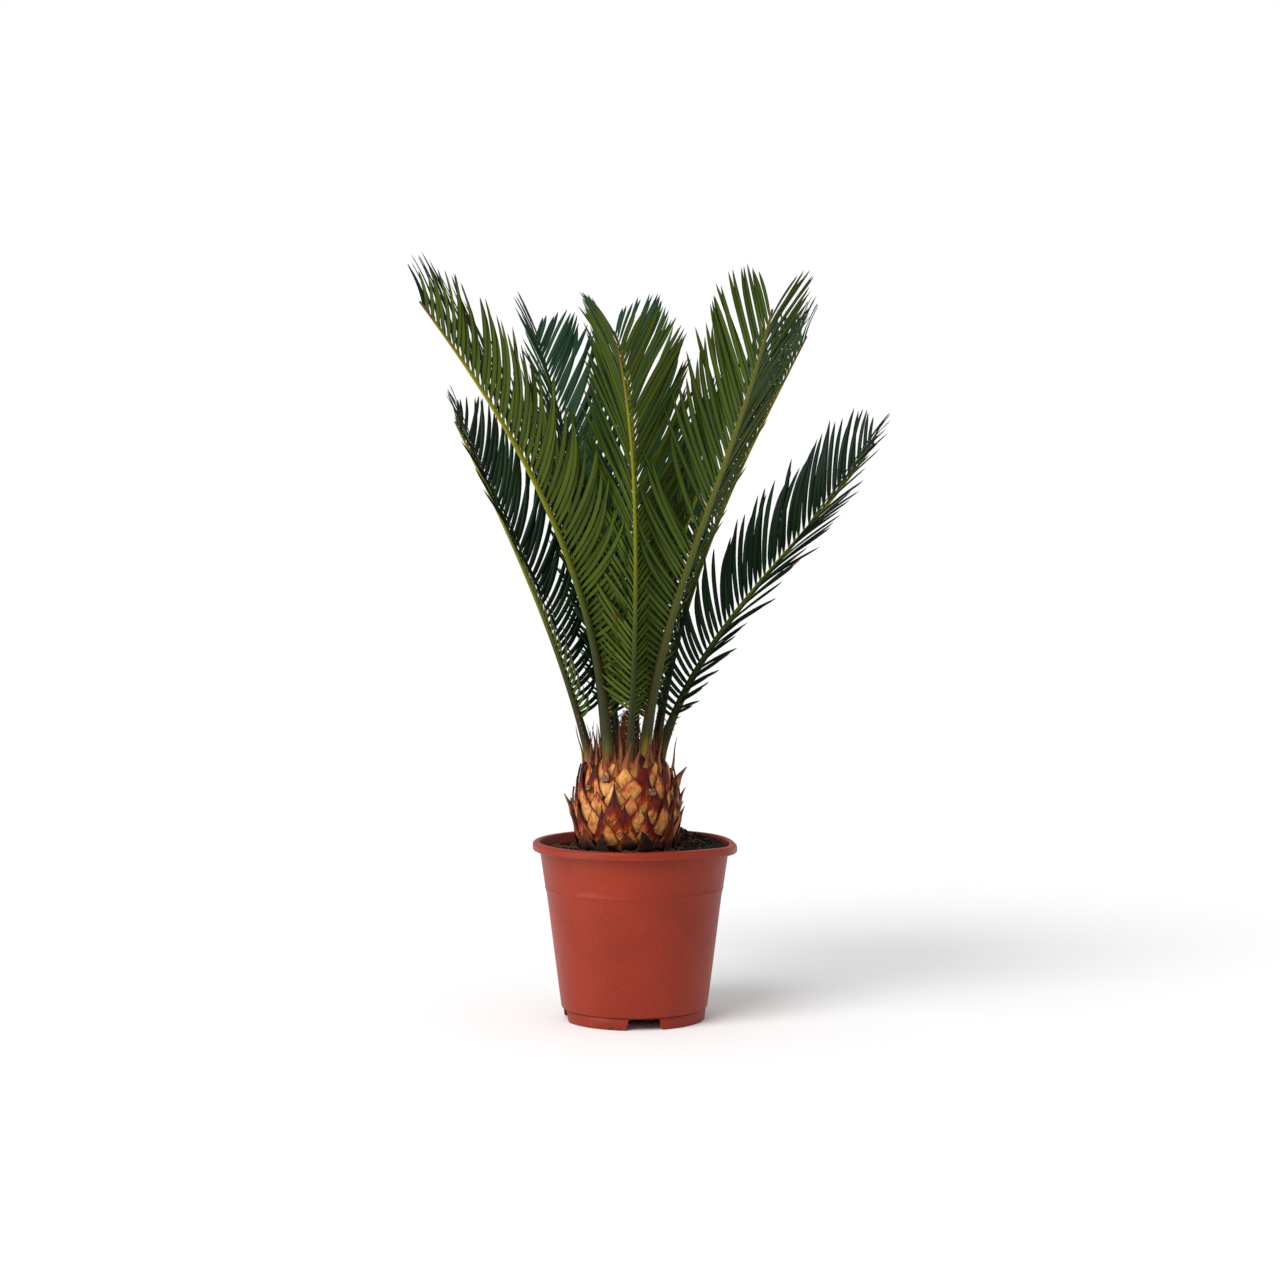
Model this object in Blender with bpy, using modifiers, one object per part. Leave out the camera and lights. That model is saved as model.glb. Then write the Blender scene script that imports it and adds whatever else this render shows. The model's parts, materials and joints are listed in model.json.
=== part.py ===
"""Sago palm in a plastic nursery pot, as closed solids.

Lengths are in metres, angles in degrees and +Z is up. The origin is the centre of the pot's
underside, and -Y is the front.
"""

from dataclasses import dataclass
from math import cos, radians, sin, sqrt

import bmesh
import bpy
from mathutils import Matrix, Vector
from mathutils.bvhtree import BVHTree

MM = 0.001
UP = Vector((0.0, 0.0, 1.0))
GOLDEN_ANGLE = 137.508
GAP = 0.3 * MM  # between two solids that touch in the real plant

# Pot: radii and heights of its outer wall, from the foot to the rolled rim.
POT_HEIGHT = 150 * MM
WALL = 1.5 * MM
FOOT_RADIUS = 59.4 * MM
FOOT_HEIGHT = 10.4 * MM
FOOT_FLARE = 0.4 * MM
SHOULDER_DROP = 0.6 * MM
BODY_FOOT_RADIUS = 61.5 * MM
BODY_TAPER = 0.129
STEP_Z = 111 * MM
STEP_OUT = 0.8 * MM
STEP_RISE = 2 * MM
COLLAR_TAPER = 0.13
RIM_RADIUS = 85 * MM
RIM_INNER_RADIUS = 79 * MM
RIM_TALL = 6.6 * MM
RIM_ROUND = 1.2 * MM
POT_STEPS = 36

# Pot floor: a flat ring, dished down to a pad that stands on the ground with the foot.
FLOOR_THICKNESS = 1.6 * MM
DISH_RADIUS = 40 * MM
PAD_RADIUS = 18 * MM
NOTCH_COUNT = 4
NOTCH_AZIMUTH = -82.0
NOTCH_WIDTH = 27 * MM
NOTCH_HEIGHT = 9.4 * MM
NOTCH_ROUND = 3 * MM
NOTCH_CUT = 16 * MM  # how far the cut goes, across the foot ring
DRAIN_COUNT = 4
DRAIN_RADIUS = 4.5 * MM
DRAIN_CUT = 10 * MM
DRAIN_RING = 49 * MM

# Soil
SOIL_Z = 143.6 * MM
SOIL_FLAT_RADIUS = 44.5 * MM  # level within it, under the trunk
SOIL_MIDWAY_DROP = 0.5 * MM
SOIL_EDGE_DROP = 2 * MM
SOIL_HEAP_RADIUS = 47.5 * MM  # heaped up only outside it
SOIL_RAISE = 4.5 * MM
SOIL_RAISE_AZIMUTH = 42.0
SOIL_STEPS = 36

# Trunk: a barrel clothed in scales, with its axis a little left of the pot's.
TRUNK_X = -6.4 * MM
TRUNK_FOOT_Z = SOIL_Z + GAP
CROWN_Z = 214 * MM
TRUNK_TALL = CROWN_Z - TRUNK_FOOT_Z
BARREL = ((0.0, 38.5), (0.15, 41.0), (0.4, 41.5), (0.62, 40.0), (0.8, 36.5), (0.93, 33.5), (1.0, 31.5))
CROWN_RADIUS = BARREL[-1][1] * MM
TRUNK_STEPS = 30
SCALE_COUNT = 84
SCALES_LOW = 0.1  # of the trunk's height
SCALES_HIGH = 0.93
SCALE_SIZES = ((0.0, 0.9), (0.4, 1.0), (0.75, 0.95), (1.0, 0.7))
SCALE_WIDTH = 21 * MM
SCALE_HEIGHT = 24 * MM
SCALE_POINT = 0.42  # of its height, above its middle
SCALE_SUNK = 3.5 * MM
SCALE_LIFT = 5.5 * MM
STUB_LENGTH = 15 * MM
STUB_RADIUS = 4.2 * MM
STUB_FLARE = 1.25  # at its root
STUB_RISE = 0.45  # for each unit outward
STUB_OUT = 0.2  # of its length, from its middle to the trunk's side
STUBS = ((-115.0, 0.86), (-136.0, 0.72), (-62.0, 0.7), (-20.0, 0.5), (35.0, 0.7), (120.0, 0.66))
SPIKE_COUNT = 20
SPIKE_FIRST = 20.0  # azimuth
SPIKE_INSET = 2.5 * MM
SPIKE_RADIUS = 2.1 * MM
SPIKE_TIP = 0.35 * MM
SPIKE_LENGTHS = (28 * MM, 38 * MM, 24 * MM, 33 * MM)
SPIKE_LEANS = (6.0, 16.0, 10.0, 24.0)
SPIKE_SUNK = 6 * MM
BUD_RADIUS = 8.5 * MM
BUD_HEIGHT = 46 * MM
BUD_OUTLINE = ((0.0, 0.8), (0.2, 1.0), (0.5, 0.85), (0.8, 0.45))
BUD_STEPS = 10

# Fronds
RIB_RADII = ((0.0, 4.8), (0.12, 3.9), (0.3, 3.1), (0.6, 2.3), (0.85, 1.6), (1.0, 1.2))
RIB_POINTS = 13
RIB_BELOW = 8 * MM
PLACE_STEPS = 240
LEAFLET_PAIRS = 23
ROW_LAG = 0.5  # of a leaflet's pitch, that one row stands higher than the other
LEAFLET_WIDTH = 6.6 * MM
LEAFLET_THICKNESS = 1.7 * MM
LEAFLET_ROOT = 0.5  # of the rib's radius
LEAFY_TO = 0.985  # of the rib's length
PATH_STEPS = 8
LENGTHS = ((0.0, 0.36), (0.06, 0.46), (0.12, 0.56), (0.2, 0.68), (0.3, 0.84), (0.45, 0.98), (0.6, 1.0),
           (0.75, 0.94), (0.88, 0.8), (0.94, 0.62), (0.97, 0.45), (1.0, 0.36))
ANGLES = ((0.0, 74.0), (0.15, 56.0), (0.3, 45.0), (0.5, 37.0), (0.75, 33.0), (0.9, 34.0), (1.0, 30.0))
SWEEPS = ((0.0, 34.0), (0.3, 30.0), (0.7, 18.0), (1.0, 4.0))  # that a leaflet turns toward the rib's tip
SWEEP_BEFORE = 0.35  # of the sweep, added to the angle at the leaflet's root
KEEL = 56.0  # that the rows stand up from the rib's plane
OPENING = 38.0  # that a leaflet falls back from the keel
DROOP = 0.05  # that a leaflet's tip bends down
SHORTER = (1.0, 0.8, 0.62, 0.45)  # shares of a leaflet's length, tried in turn
CLEARANCE = 1.35  # a leaflet is tested this much wider than it is


@dataclass(frozen=True)
class Frond:
    """One frond: where its rib stands on the crown, how it leans and how its rows are turned."""

    seat: tuple
    azimuth: float
    lean: tuple  # from upright, at the foot, half way and at the tip
    veer: float  # added to the azimuth on the way to the tip
    length: float
    roll: tuple = (0, 0, 0)  # of both rows about the rib, at the foot, half way and at the tip
    leaflet: float = 103 * MM  # the longest leaflet
    bare: float = 0.125  # share of the rib below the leaflets
    girth: float = 1.0  # of the rib, as a share of RIB_RADII


FRONDS = {
    "frond_left_front": Frond((-20.5 * MM, -18 * MM), -125, (4, 30.5, 42), -20, 432 * MM, (-10, -16, -22),
                              108 * MM, girth=1.2),
    "frond_front": Frond((-4.5 * MM, -25 * MM), -78, (18, 23, 43), -26, 379 * MM, (-4, -6, -10),
                         girth=0.75),
    "frond_right_front": Frond((7.5 * MM, -18 * MM), -59, (9, 36, 29), -7, 425 * MM, (14, 2, -14),
                               107 * MM, girth=1.2),
    "frond_right": Frond((20 * MM, 3 * MM), 18, (14, 41, 35), -3, 336 * MM, (40, 38, 0), 89 * MM),
    "frond_left": Frond((-36 * MM, 0.0), 156, (15, 27, 33), -15, 324 * MM, (30, -6, 22), 86 * MM),
    "frond_right_back": Frond((17 * MM, 18 * MM), 51, (10, 30, 34), -12, 418 * MM, (-8, -14, -12)),
    "frond_left_back": Frond((-19 * MM, 15 * MM), 117, (4, 25, 45), -3, 416 * MM, (0, 5, 25)),
    "frond_back": Frond((-1.5 * MM, 27 * MM), 81, (23, 13, 59), 25, 416 * MM),
    "frond_low_back": Frond((-12.5 * MM, 24 * MM), 104, (26, 44, 58), 0, 350 * MM, leaflet=90 * MM),
    "frond_inner_left": Frond((-24 * MM, -2 * MM), 176, (3, 14, 27), 0, 318 * MM, leaflet=84 * MM,
                              girth=0.8),
    "frond_inner_right": Frond((9 * MM, 1 * MM), 2, (3, 14, 27), 0, 318 * MM, leaflet=84 * MM,
                               girth=0.8),
}

# Colour, roughness of each sub-part
FINISHES = {
    "terracotta_plastic": ((0.36, 0.07, 0.04), 0.45),
    "potting_soil": ((0.012, 0.009, 0.007), 0.95),
    "trunk_scales": ((0.42, 0.22, 0.08), 0.7),
    "bud_felt": ((0.14, 0.06, 0.02), 0.9),
    "frond_green": ((0.05, 0.11, 0.02), 0.4),
}


def clear_scene():
    for obj in list(bpy.data.objects):
        bpy.data.objects.remove(obj, do_unlink=True)


def new_collection(name, helper=False):
    collection = bpy.data.collections.new(name)
    collection.hide_render = helper
    bpy.context.scene.collection.children.link(collection)
    return collection


def plain_material(name):
    colour, roughness = FINISHES[name]
    material = bpy.data.materials.new(name)
    material.use_nodes = True
    shader = material.node_tree.nodes["Principled BSDF"]
    shader.inputs["Base Color"].default_value = (*colour, 1.0)
    shader.inputs["Roughness"].default_value = roughness
    return material


def between(stops, share):
    """The value at share of a line through the (share, value) stops."""
    for (low, first), (high, second) in zip(stops, stops[1:]):
        if share <= high:
            return first + (second - first) * (share - low) / (high - low)
    return stops[-1][1]


def add_object(name, mesh, collection):
    obj = bpy.data.objects.new(name, mesh)
    collection.objects.link(obj)
    return obj


def mesh_from(name, shape):
    """A mesh from a bmesh whose faces are made to face out."""
    bmesh.ops.recalc_face_normals(shape, faces=shape.faces)
    mesh = bpy.data.meshes.new(name)
    shape.to_mesh(mesh)
    shape.free()
    return mesh


def turned(name, profile, steps, collection):
    """The (radius, height) profile turned about Z with a Screw."""
    mesh = bpy.data.meshes.new(name)
    edges = [(i, i + 1) for i in range(len(profile) - 1)]
    mesh.from_pydata([(radius, 0.0, height) for radius, height in profile], edges, [])
    obj = add_object(name, mesh, collection)
    screw = obj.modifiers.new("turn", "SCREW")
    screw.steps = steps
    screw.render_steps = steps
    screw.use_merge_vertices = True
    screw.merge_threshold = 0.00001
    screw.use_normal_calculate = True
    return obj


def applied(obj):
    """The object with its modifiers turned into its mesh."""
    graph = bpy.context.evaluated_depsgraph_get()
    mesh = bpy.data.meshes.new_from_object(obj.evaluated_get(graph))
    obj.modifiers.clear()
    obj.data = mesh
    shape = bmesh.new()
    shape.from_mesh(mesh)
    bmesh.ops.recalc_face_normals(shape, faces=shape.faces)
    shape.to_mesh(mesh)
    shape.free()
    return obj


def fuse(base, pieces):
    """The base joined with the collection's objects, which are then removed."""
    union = base.modifiers.new("union", "BOOLEAN")
    union.operation = "UNION"
    union.operand_type = "COLLECTION"
    union.collection = pieces
    union.solver = "MANIFOLD"
    bpy.context.view_layer.update()
    graph = bpy.context.evaluated_depsgraph_get()
    mesh = bpy.data.meshes.new_from_object(base.evaluated_get(graph))
    base.modifiers.clear()
    base.data = mesh
    for piece in list(pieces.objects):
        bpy.data.objects.remove(piece, do_unlink=True)
    bpy.data.collections.remove(pieces)


def finish(obj, material):
    obj.data.materials.clear()
    obj.data.materials.append(material)


# ---------------------------------------------------------------- pot and soil


def body_radius(z):
    """The pot's outer radius below its step."""
    return BODY_FOOT_RADIUS + BODY_TAPER * (z - FOOT_HEIGHT)


def collar_radius(z):
    """The pot's outer radius between its step and its rim."""
    return body_radius(STEP_Z) + STEP_OUT + COLLAR_TAPER * (z - STEP_Z - STEP_RISE)


def pot_profile():
    rim_foot = POT_HEIGHT - RIM_TALL
    floor_top = FOOT_HEIGHT + FLOOR_THICKNESS
    outside = [
        (0.0, 0.0),
        (PAD_RADIUS, 0.0),
        (DISH_RADIUS, FOOT_HEIGHT),
        (FOOT_RADIUS - WALL, FOOT_HEIGHT),
        (FOOT_RADIUS - WALL, 0.0),
        (FOOT_RADIUS, 0.0),
        (FOOT_RADIUS + FOOT_FLARE, FOOT_HEIGHT - SHOULDER_DROP),
        (BODY_FOOT_RADIUS, FOOT_HEIGHT),
        (body_radius(STEP_Z), STEP_Z),
        (collar_radius(STEP_Z + STEP_RISE), STEP_Z + STEP_RISE),
        (collar_radius(rim_foot), rim_foot),
    ]
    rim = [
        (RIM_RADIUS - RIM_ROUND / 2, rim_foot),
        (RIM_RADIUS, rim_foot + RIM_ROUND),
        (RIM_RADIUS, POT_HEIGHT - RIM_ROUND),
        (RIM_RADIUS - RIM_ROUND, POT_HEIGHT),
        (RIM_INNER_RADIUS + RIM_ROUND / 2, POT_HEIGHT),
        (RIM_INNER_RADIUS, POT_HEIGHT - RIM_ROUND),
    ]
    inside = [
        (collar_radius(rim_foot) - WALL, rim_foot),
        (collar_radius(STEP_Z + STEP_RISE) - WALL, STEP_Z + STEP_RISE),
        (body_radius(STEP_Z) - WALL, STEP_Z),
        (body_radius(floor_top) - WALL, floor_top),
        (DISH_RADIUS, floor_top),
        (PAD_RADIUS, FLOOR_THICKNESS),
        (0.0, FLOOR_THICKNESS),
    ]
    return outside + rim + inside


def around(azimuth, radius, z):
    return Vector((radius * cos(radians(azimuth)), radius * sin(radians(azimuth)), z))


def add_notch_cutter(azimuth, cutters):
    """A block with rounded upper corners, through the foot ring only."""
    shape = bmesh.new()
    size = Matrix.Diagonal((NOTCH_CUT, NOTCH_WIDTH, 2 * NOTCH_HEIGHT, 1.0))
    bmesh.ops.create_cube(shape, size=1.0, matrix=size)
    upper = [
        edge for edge in shape.edges
        if all(vert.co.z > 0 for vert in edge.verts) and edge.verts[0].co.y == edge.verts[1].co.y
    ]
    bmesh.ops.bevel(shape, geom=upper, offset=NOTCH_ROUND, segments=3, affect="EDGES", profile=0.5)
    cutter = add_object("foot_notch_cutter", mesh_from("foot_notch_cutter", shape), cutters)
    cutter.location = around(azimuth, FOOT_RADIUS, 0.0)
    cutter.rotation_euler.z = radians(azimuth)


def add_drain_cutter(azimuth, cutters):
    shape = bmesh.new()
    bmesh.ops.create_cone(shape, cap_ends=True, segments=12, radius1=DRAIN_RADIUS,
                          radius2=DRAIN_RADIUS, depth=DRAIN_CUT)
    cutter = add_object("drain_cutter", mesh_from("drain_cutter", shape), cutters)
    cutter.location = around(azimuth, DRAIN_RING, FOOT_HEIGHT + FLOOR_THICKNESS / 2)


def build_pot(collection, cutters):
    pot = turned("pot", pot_profile(), POT_STEPS, collection)
    for i in range(NOTCH_COUNT):
        add_notch_cutter(NOTCH_AZIMUTH + 360 * i / NOTCH_COUNT, cutters)
    for i in range(DRAIN_COUNT):
        add_drain_cutter(NOTCH_AZIMUTH + 360 * (i + 0.5) / DRAIN_COUNT, cutters)
    cut = pot.modifiers.new("notches_and_drains", "BOOLEAN")
    cut.operation = "DIFFERENCE"
    cut.operand_type = "COLLECTION"
    cut.collection = cutters
    cut.solver = "EXACT"
    finish(pot, plain_material("terracotta_plastic"))


def build_soil(collection):
    """The soil fills the pot to below its rim, is flat under the trunk and heaped up at one side."""
    step_top = STEP_Z + STEP_RISE
    floor_top = FOOT_HEIGHT + FLOOR_THICKNESS
    inset = WALL + GAP
    edge_z = SOIL_Z - SOIL_EDGE_DROP
    edge = collar_radius(edge_z) - inset
    profile = [
        (0.0, FLOOR_THICKNESS + GAP),
        (PAD_RADIUS - GAP, FLOOR_THICKNESS + GAP),
        (DISH_RADIUS - GAP, floor_top + GAP),
        (body_radius(floor_top) - inset, floor_top + GAP),
        (body_radius(STEP_Z) - inset, STEP_Z),
        (collar_radius(step_top) - inset, step_top),
        (edge, edge_z),
        ((edge + SOIL_FLAT_RADIUS) / 2, SOIL_Z - SOIL_MIDWAY_DROP),
        (SOIL_FLAT_RADIUS, SOIL_Z),
        (0.0, SOIL_Z),
    ]
    soil = applied(turned("soil", profile, SOIL_STEPS, collection))
    for vert in soil.data.vertices:
        radius = sqrt(vert.co.x ** 2 + vert.co.y ** 2)
        if vert.co.z < edge_z - GAP or radius < SOIL_HEAP_RADIUS:
            continue
        direction = around(SOIL_RAISE_AZIMUTH, 1.0, 0.0)
        toward = max(0.0, (vert.co.x * direction.x + vert.co.y * direction.y) / radius)
        vert.co.z += SOIL_RAISE * toward ** 3
    finish(soil, plain_material("potting_soil"))
    return soil


# ---------------------------------------------------------------- trunk


def barrel_radius(share):
    """The trunk's radius without its scales, at a share of its height."""
    return between(BARREL, share) * MM


def on_trunk(azimuth, share):
    """(place, outward) on the trunk's side."""
    outward = around(azimuth, 1.0, 0.0)
    place = Vector((TRUNK_X, 0.0, TRUNK_FOOT_Z + share * TRUNK_TALL))
    return place + outward * barrel_radius(share), outward


def facing(outward, upward):
    """A matrix whose Z is outward, with its Y as near upward as it can be."""
    z = outward.normalized()
    x = upward.cross(z).normalized()
    y = z.cross(x)
    return Matrix((x, y, z)).transposed().to_4x4()


def add_scale(azimuth, share, size, pieces):
    """A four-sided pyramid, sunk in the trunk, whose point is near its upper corner."""
    shape = bmesh.new()
    bmesh.ops.create_cone(shape, cap_ends=True, segments=4, radius1=0.5, radius2=0.0, depth=1.0)
    lift = (SCALE_SUNK + SCALE_LIFT) * size
    for vert in shape.verts:
        point = vert.co.z > 0
        vert.co.x *= SCALE_WIDTH * size
        vert.co.y = SCALE_HEIGHT * size * (SCALE_POINT if point else vert.co.y)
        vert.co.z = lift if point else 0.0
    place, outward = on_trunk(azimuth, share)
    scale = add_object("scale", mesh_from("scale", shape), pieces)
    scale.matrix_world = Matrix.Translation(place - outward * SCALE_SUNK) @ facing(outward, UP)


def add_scales(pieces):
    for i in range(SCALE_COUNT):
        share = SCALES_LOW + (SCALES_HIGH - SCALES_LOW) * (i + 0.5) / SCALE_COUNT
        add_scale(GOLDEN_ANGLE * i, share, between(SCALE_SIZES, share), pieces)


def add_stub(azimuth, share, pieces):
    """What is left of a frond that was cut off."""
    place, outward = on_trunk(azimuth, share)
    along = (outward + STUB_RISE * UP).normalized()
    shape = bmesh.new()
    bmesh.ops.create_cone(shape, cap_ends=True, segments=6, radius1=STUB_RADIUS * STUB_FLARE,
                          radius2=STUB_RADIUS, depth=STUB_LENGTH)
    stub = add_object("stub", mesh_from("stub", shape), pieces)
    stub.matrix_world = Matrix.Translation(place + along * STUB_LENGTH * STUB_OUT) @ facing(along, UP)


def spike_mesh(azimuth, reach, length, lean):
    """A long dry bract that stands at the crown's edge, in place."""
    shape = bmesh.new()
    bmesh.ops.create_cone(shape, cap_ends=True, segments=4, radius1=SPIKE_RADIUS,
                          radius2=SPIKE_TIP, depth=length + SPIKE_SUNK)
    outward = around(azimuth, 1.0, 0.0)
    along = outward * sin(radians(lean)) + UP * cos(radians(lean))
    foot = Vector((TRUNK_X, 0.0, CROWN_Z)) + outward * reach
    middle = foot + along * (length - SPIKE_SUNK) / 2
    shape.transform(Matrix.Translation(middle) @ facing(along, outward))
    return mesh_from("spike", shape)


def add_spikes(pieces, ribs):
    """Spikes by turns of the golden angle, leaving out each that would touch a rib."""
    for i in range(SPIKE_COUNT):
        length = SPIKE_LENGTHS[i % len(SPIKE_LENGTHS)]
        lean = SPIKE_LEANS[i % len(SPIKE_LEANS)]
        mesh = spike_mesh(SPIKE_FIRST + GOLDEN_ANGLE * i, CROWN_RADIUS - SPIKE_INSET, length, lean)
        if any(tree_of(mesh).overlap(rib) for rib in ribs):
            bpy.data.meshes.remove(mesh)
            continue
        add_object("spike", mesh, pieces)


def level_foot(trunk, cutters):
    """Cuts the lowest scales off level with the trunk's foot."""
    shape = bmesh.new()
    bmesh.ops.create_cube(shape, size=2 * RIM_RADIUS)
    block = add_object("trunk_foot_cutter", mesh_from("trunk_foot_cutter", shape), cutters)
    block.location.z = TRUNK_FOOT_Z - RIM_RADIUS
    cut = trunk.modifiers.new("level_foot", "BOOLEAN")
    cut.operation = "DIFFERENCE"
    cut.object = block
    cut.solver = "MANIFOLD"


def build_trunk(collection, cutters, ribs):
    heights = [(barrel_radius(share), TRUNK_FOOT_Z + share * TRUNK_TALL) for share, _ in BARREL]
    profile = [(0.0, TRUNK_FOOT_Z), *heights, (0.0, CROWN_Z)]
    trunk = applied(turned("trunk", profile, TRUNK_STEPS, collection))
    trunk.data.transform(Matrix.Translation((TRUNK_X, 0.0, 0.0)))
    pieces = new_collection("trunk_pieces")
    add_scales(pieces)
    for azimuth, share in STUBS:
        add_stub(azimuth, share, pieces)
    add_spikes(pieces, ribs)
    fuse(trunk, pieces)
    level_foot(trunk, cutters)
    finish(trunk, plain_material("trunk_scales"))
    return trunk


def build_bud(collection):
    """The felted bud in the middle of the crown."""
    foot = CROWN_Z + GAP
    sides = [(BUD_RADIUS * width, foot + BUD_HEIGHT * share) for share, width in BUD_OUTLINE]
    profile = [(0.0, foot), *sides, (0.0, foot + BUD_HEIGHT)]
    bud = applied(turned("crown_bud", profile, BUD_STEPS, collection))
    bud.data.transform(Matrix.Translation((TRUNK_X, 0.0, 0.0)))
    finish(bud, plain_material("bud_felt"))
    return bud


# ---------------------------------------------------------------- fronds


def at_stages(values, share):
    """The value at share of the curve through the values at 0, 1/2 and 1."""
    foot, middle, tip = values
    return (foot * (1 - share) * (1 - 2 * share) + middle * 4 * share * (1 - share)
            + tip * share * (2 * share - 1))


@dataclass
class Place:
    """A place on a rib, with the rib's direction and those of its rows."""

    point: Vector
    along: Vector
    inward: Vector  # to the frond's upper side
    across: Vector


def rib_places(frond, count):
    places = []
    point = Vector((*frond.seat, CROWN_Z + GAP))
    step = frond.length / (count - 1)
    for i in range(count):
        share = i / (count - 1)
        lean = radians(at_stages(frond.lean, share))
        out = around(frond.azimuth + frond.veer * share, 1.0, 0.0)
        along = out * sin(lean) + UP * cos(lean)
        if places:
            point = point + (places[-1].along + along) * step / 2
        level = UP * sin(lean) - out * cos(lean)
        beside = along.cross(level)
        roll = radians(at_stages(frond.roll, share))
        inward = level * cos(roll) + beside * sin(roll)
        across = beside * cos(roll) - level * sin(roll)
        places.append(Place(point, along, inward, across))
    return places


def rib_mesh(frond):
    """The tapering rib, cut level where it stands on the crown."""
    places = rib_places(frond, RIB_POINTS)
    curve = bpy.data.curves.new("rib", "CURVE")
    curve.dimensions = "3D"
    curve.bevel_depth = MM
    curve.bevel_resolution = 1
    curve.use_fill_caps = True
    spline = curve.splines.new("POLY")
    spline.points.add(RIB_POINTS)
    below = places[0].point - places[0].along * RIB_BELOW
    for i, point in enumerate([below] + [place.point for place in places]):
        share = max(0, i - 1) / (RIB_POINTS - 1)
        spline.points[i].co = (*point, 1.0)
        spline.points[i].radius = between(RIB_RADII, share) * frond.girth
    tube = add_object("rib", curve, bpy.context.scene.collection)
    graph = bpy.context.evaluated_depsgraph_get()
    mesh = bpy.data.meshes.new_from_object(tube.evaluated_get(graph))
    bpy.data.objects.remove(tube, do_unlink=True)
    shape = bmesh.new()
    shape.from_mesh(mesh)
    bmesh.ops.remove_doubles(shape, verts=shape.verts, dist=0.01 * MM)
    everything = [*shape.verts, *shape.edges, *shape.faces]
    cut = bmesh.ops.bisect_plane(shape, geom=everything, dist=0.001 * MM, plane_co=places[0].point,
                                 plane_no=UP, clear_inner=True)
    edges = [item for item in cut["geom_cut"] if isinstance(item, bmesh.types.BMEdge)]
    bmesh.ops.contextual_create(shape, geom=edges)
    return mesh_from("rib", shape)


def leaflet_path(place, side, share, length):
    """Points along a leaflet, which sweeps toward the rib's tip and falls open from the keel."""
    sweep = between(SWEEPS, share)
    angle = between(ANGLES, share) + SWEEP_BEFORE * sweep
    points = [place.point.copy()]
    directions = []
    for i in range(PATH_STEPS):
        reach = (i + 0.5) / PATH_STEPS
        turn = radians(angle - sweep * reach)
        keel = radians(KEEL - OPENING * reach)
        row = place.across * side * cos(keel) + place.inward * sin(keel)
        direction = place.along * cos(turn) + row * sin(turn) - UP * DROOP * reach
        direction.normalize()
        points.append(points[-1] + direction * length / PATH_STEPS)
        directions.append(direction)
    directions.append(directions[-1])
    return points, directions


def leaflet_mesh(place, side, share, length, rib_radius, wider=1.0):
    """A three-sided blade, ridged below: a root sunk in the rib, its widest place and its point."""
    points, directions = leaflet_path(place, side, share, length)
    half = LEAFLET_WIDTH / 2 * wider
    root = LEAFLET_ROOT * rib_radius
    shape = bmesh.new()
    rings = []
    for index, width, deep in ((0, root, root), (PATH_STEPS // 2, half, LEAFLET_THICKNESS * wider)):
        direction = directions[index]
        upper = (direction.cross(place.along) * side).normalized()
        edge = upper.cross(direction)
        middle = points[index]
        corners = (middle + edge * width, middle - edge * width, middle - upper * deep)
        rings.append([shape.verts.new(corner) for corner in corners])
    tip = shape.verts.new(points[-1])
    first, second = rings
    shape.faces.new(first)
    for i in range(3):
        j = (i + 1) % 3
        shape.faces.new((first[i], first[j], second[j], second[i]))
        shape.faces.new((second[i], second[j], tip))
    bmesh.ops.triangulate(shape, faces=shape.faces)
    return mesh_from("leaflet", shape)


def tree_of(mesh):
    return BVHTree.FromPolygons([vert.co for vert in mesh.vertices],
                                [tuple(face.vertices) for face in mesh.polygons])


def clear_leaflet(frond, place, side, share, rib_radius, obstacles):
    """The longest leaflet that touches no obstacle, or None."""
    for part in SHORTER:
        length = frond.leaflet * between(LENGTHS, share) * part
        tested = leaflet_mesh(place, side, share, length, rib_radius, CLEARANCE)
        tree = tree_of(tested)
        bpy.data.meshes.remove(tested)
        if not any(tree.overlap(obstacle) for obstacle in obstacles):
            return leaflet_mesh(place, side, share, length, rib_radius)
    return None


def add_leaflets(frond, pieces, obstacles):
    """Both rows of leaflets, set by turns. One that would touch an obstacle is cut short or left out."""
    places = rib_places(frond, PLACE_STEPS + 1)
    for i in range(LEAFLET_PAIRS):
        for side, lag in ((-1, 0.0), (1, ROW_LAG)):
            share = (i + lag) / (LEAFLET_PAIRS - ROW_LAG)
            along_rib = frond.bare + (LEAFY_TO - frond.bare) * share
            place = places[round(PLACE_STEPS * along_rib)]
            rib_radius = between(RIB_RADII, along_rib) * frond.girth * MM
            mesh = clear_leaflet(frond, place, side, share, rib_radius, obstacles)
            if mesh:
                add_object("leaflet", mesh, pieces)


def build_fronds(collection, ribs, fixed):
    """Each frond's leaflets keep clear of the fixed trees, the other ribs and the fronds built before."""
    material = plain_material("frond_green")
    trees = {name: tree_of(mesh) for name, mesh in ribs.items()}
    built = []
    for name, frond in FRONDS.items():
        others = [tree for other, tree in trees.items() if other != name]
        pieces = new_collection(name + "_leaflets")
        add_leaflets(frond, pieces, fixed + others + built)
        blade = add_object(name, ribs[name], collection)
        fuse(blade, pieces)
        finish(blade, material)
        built.append(tree_of(blade.data))


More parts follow.
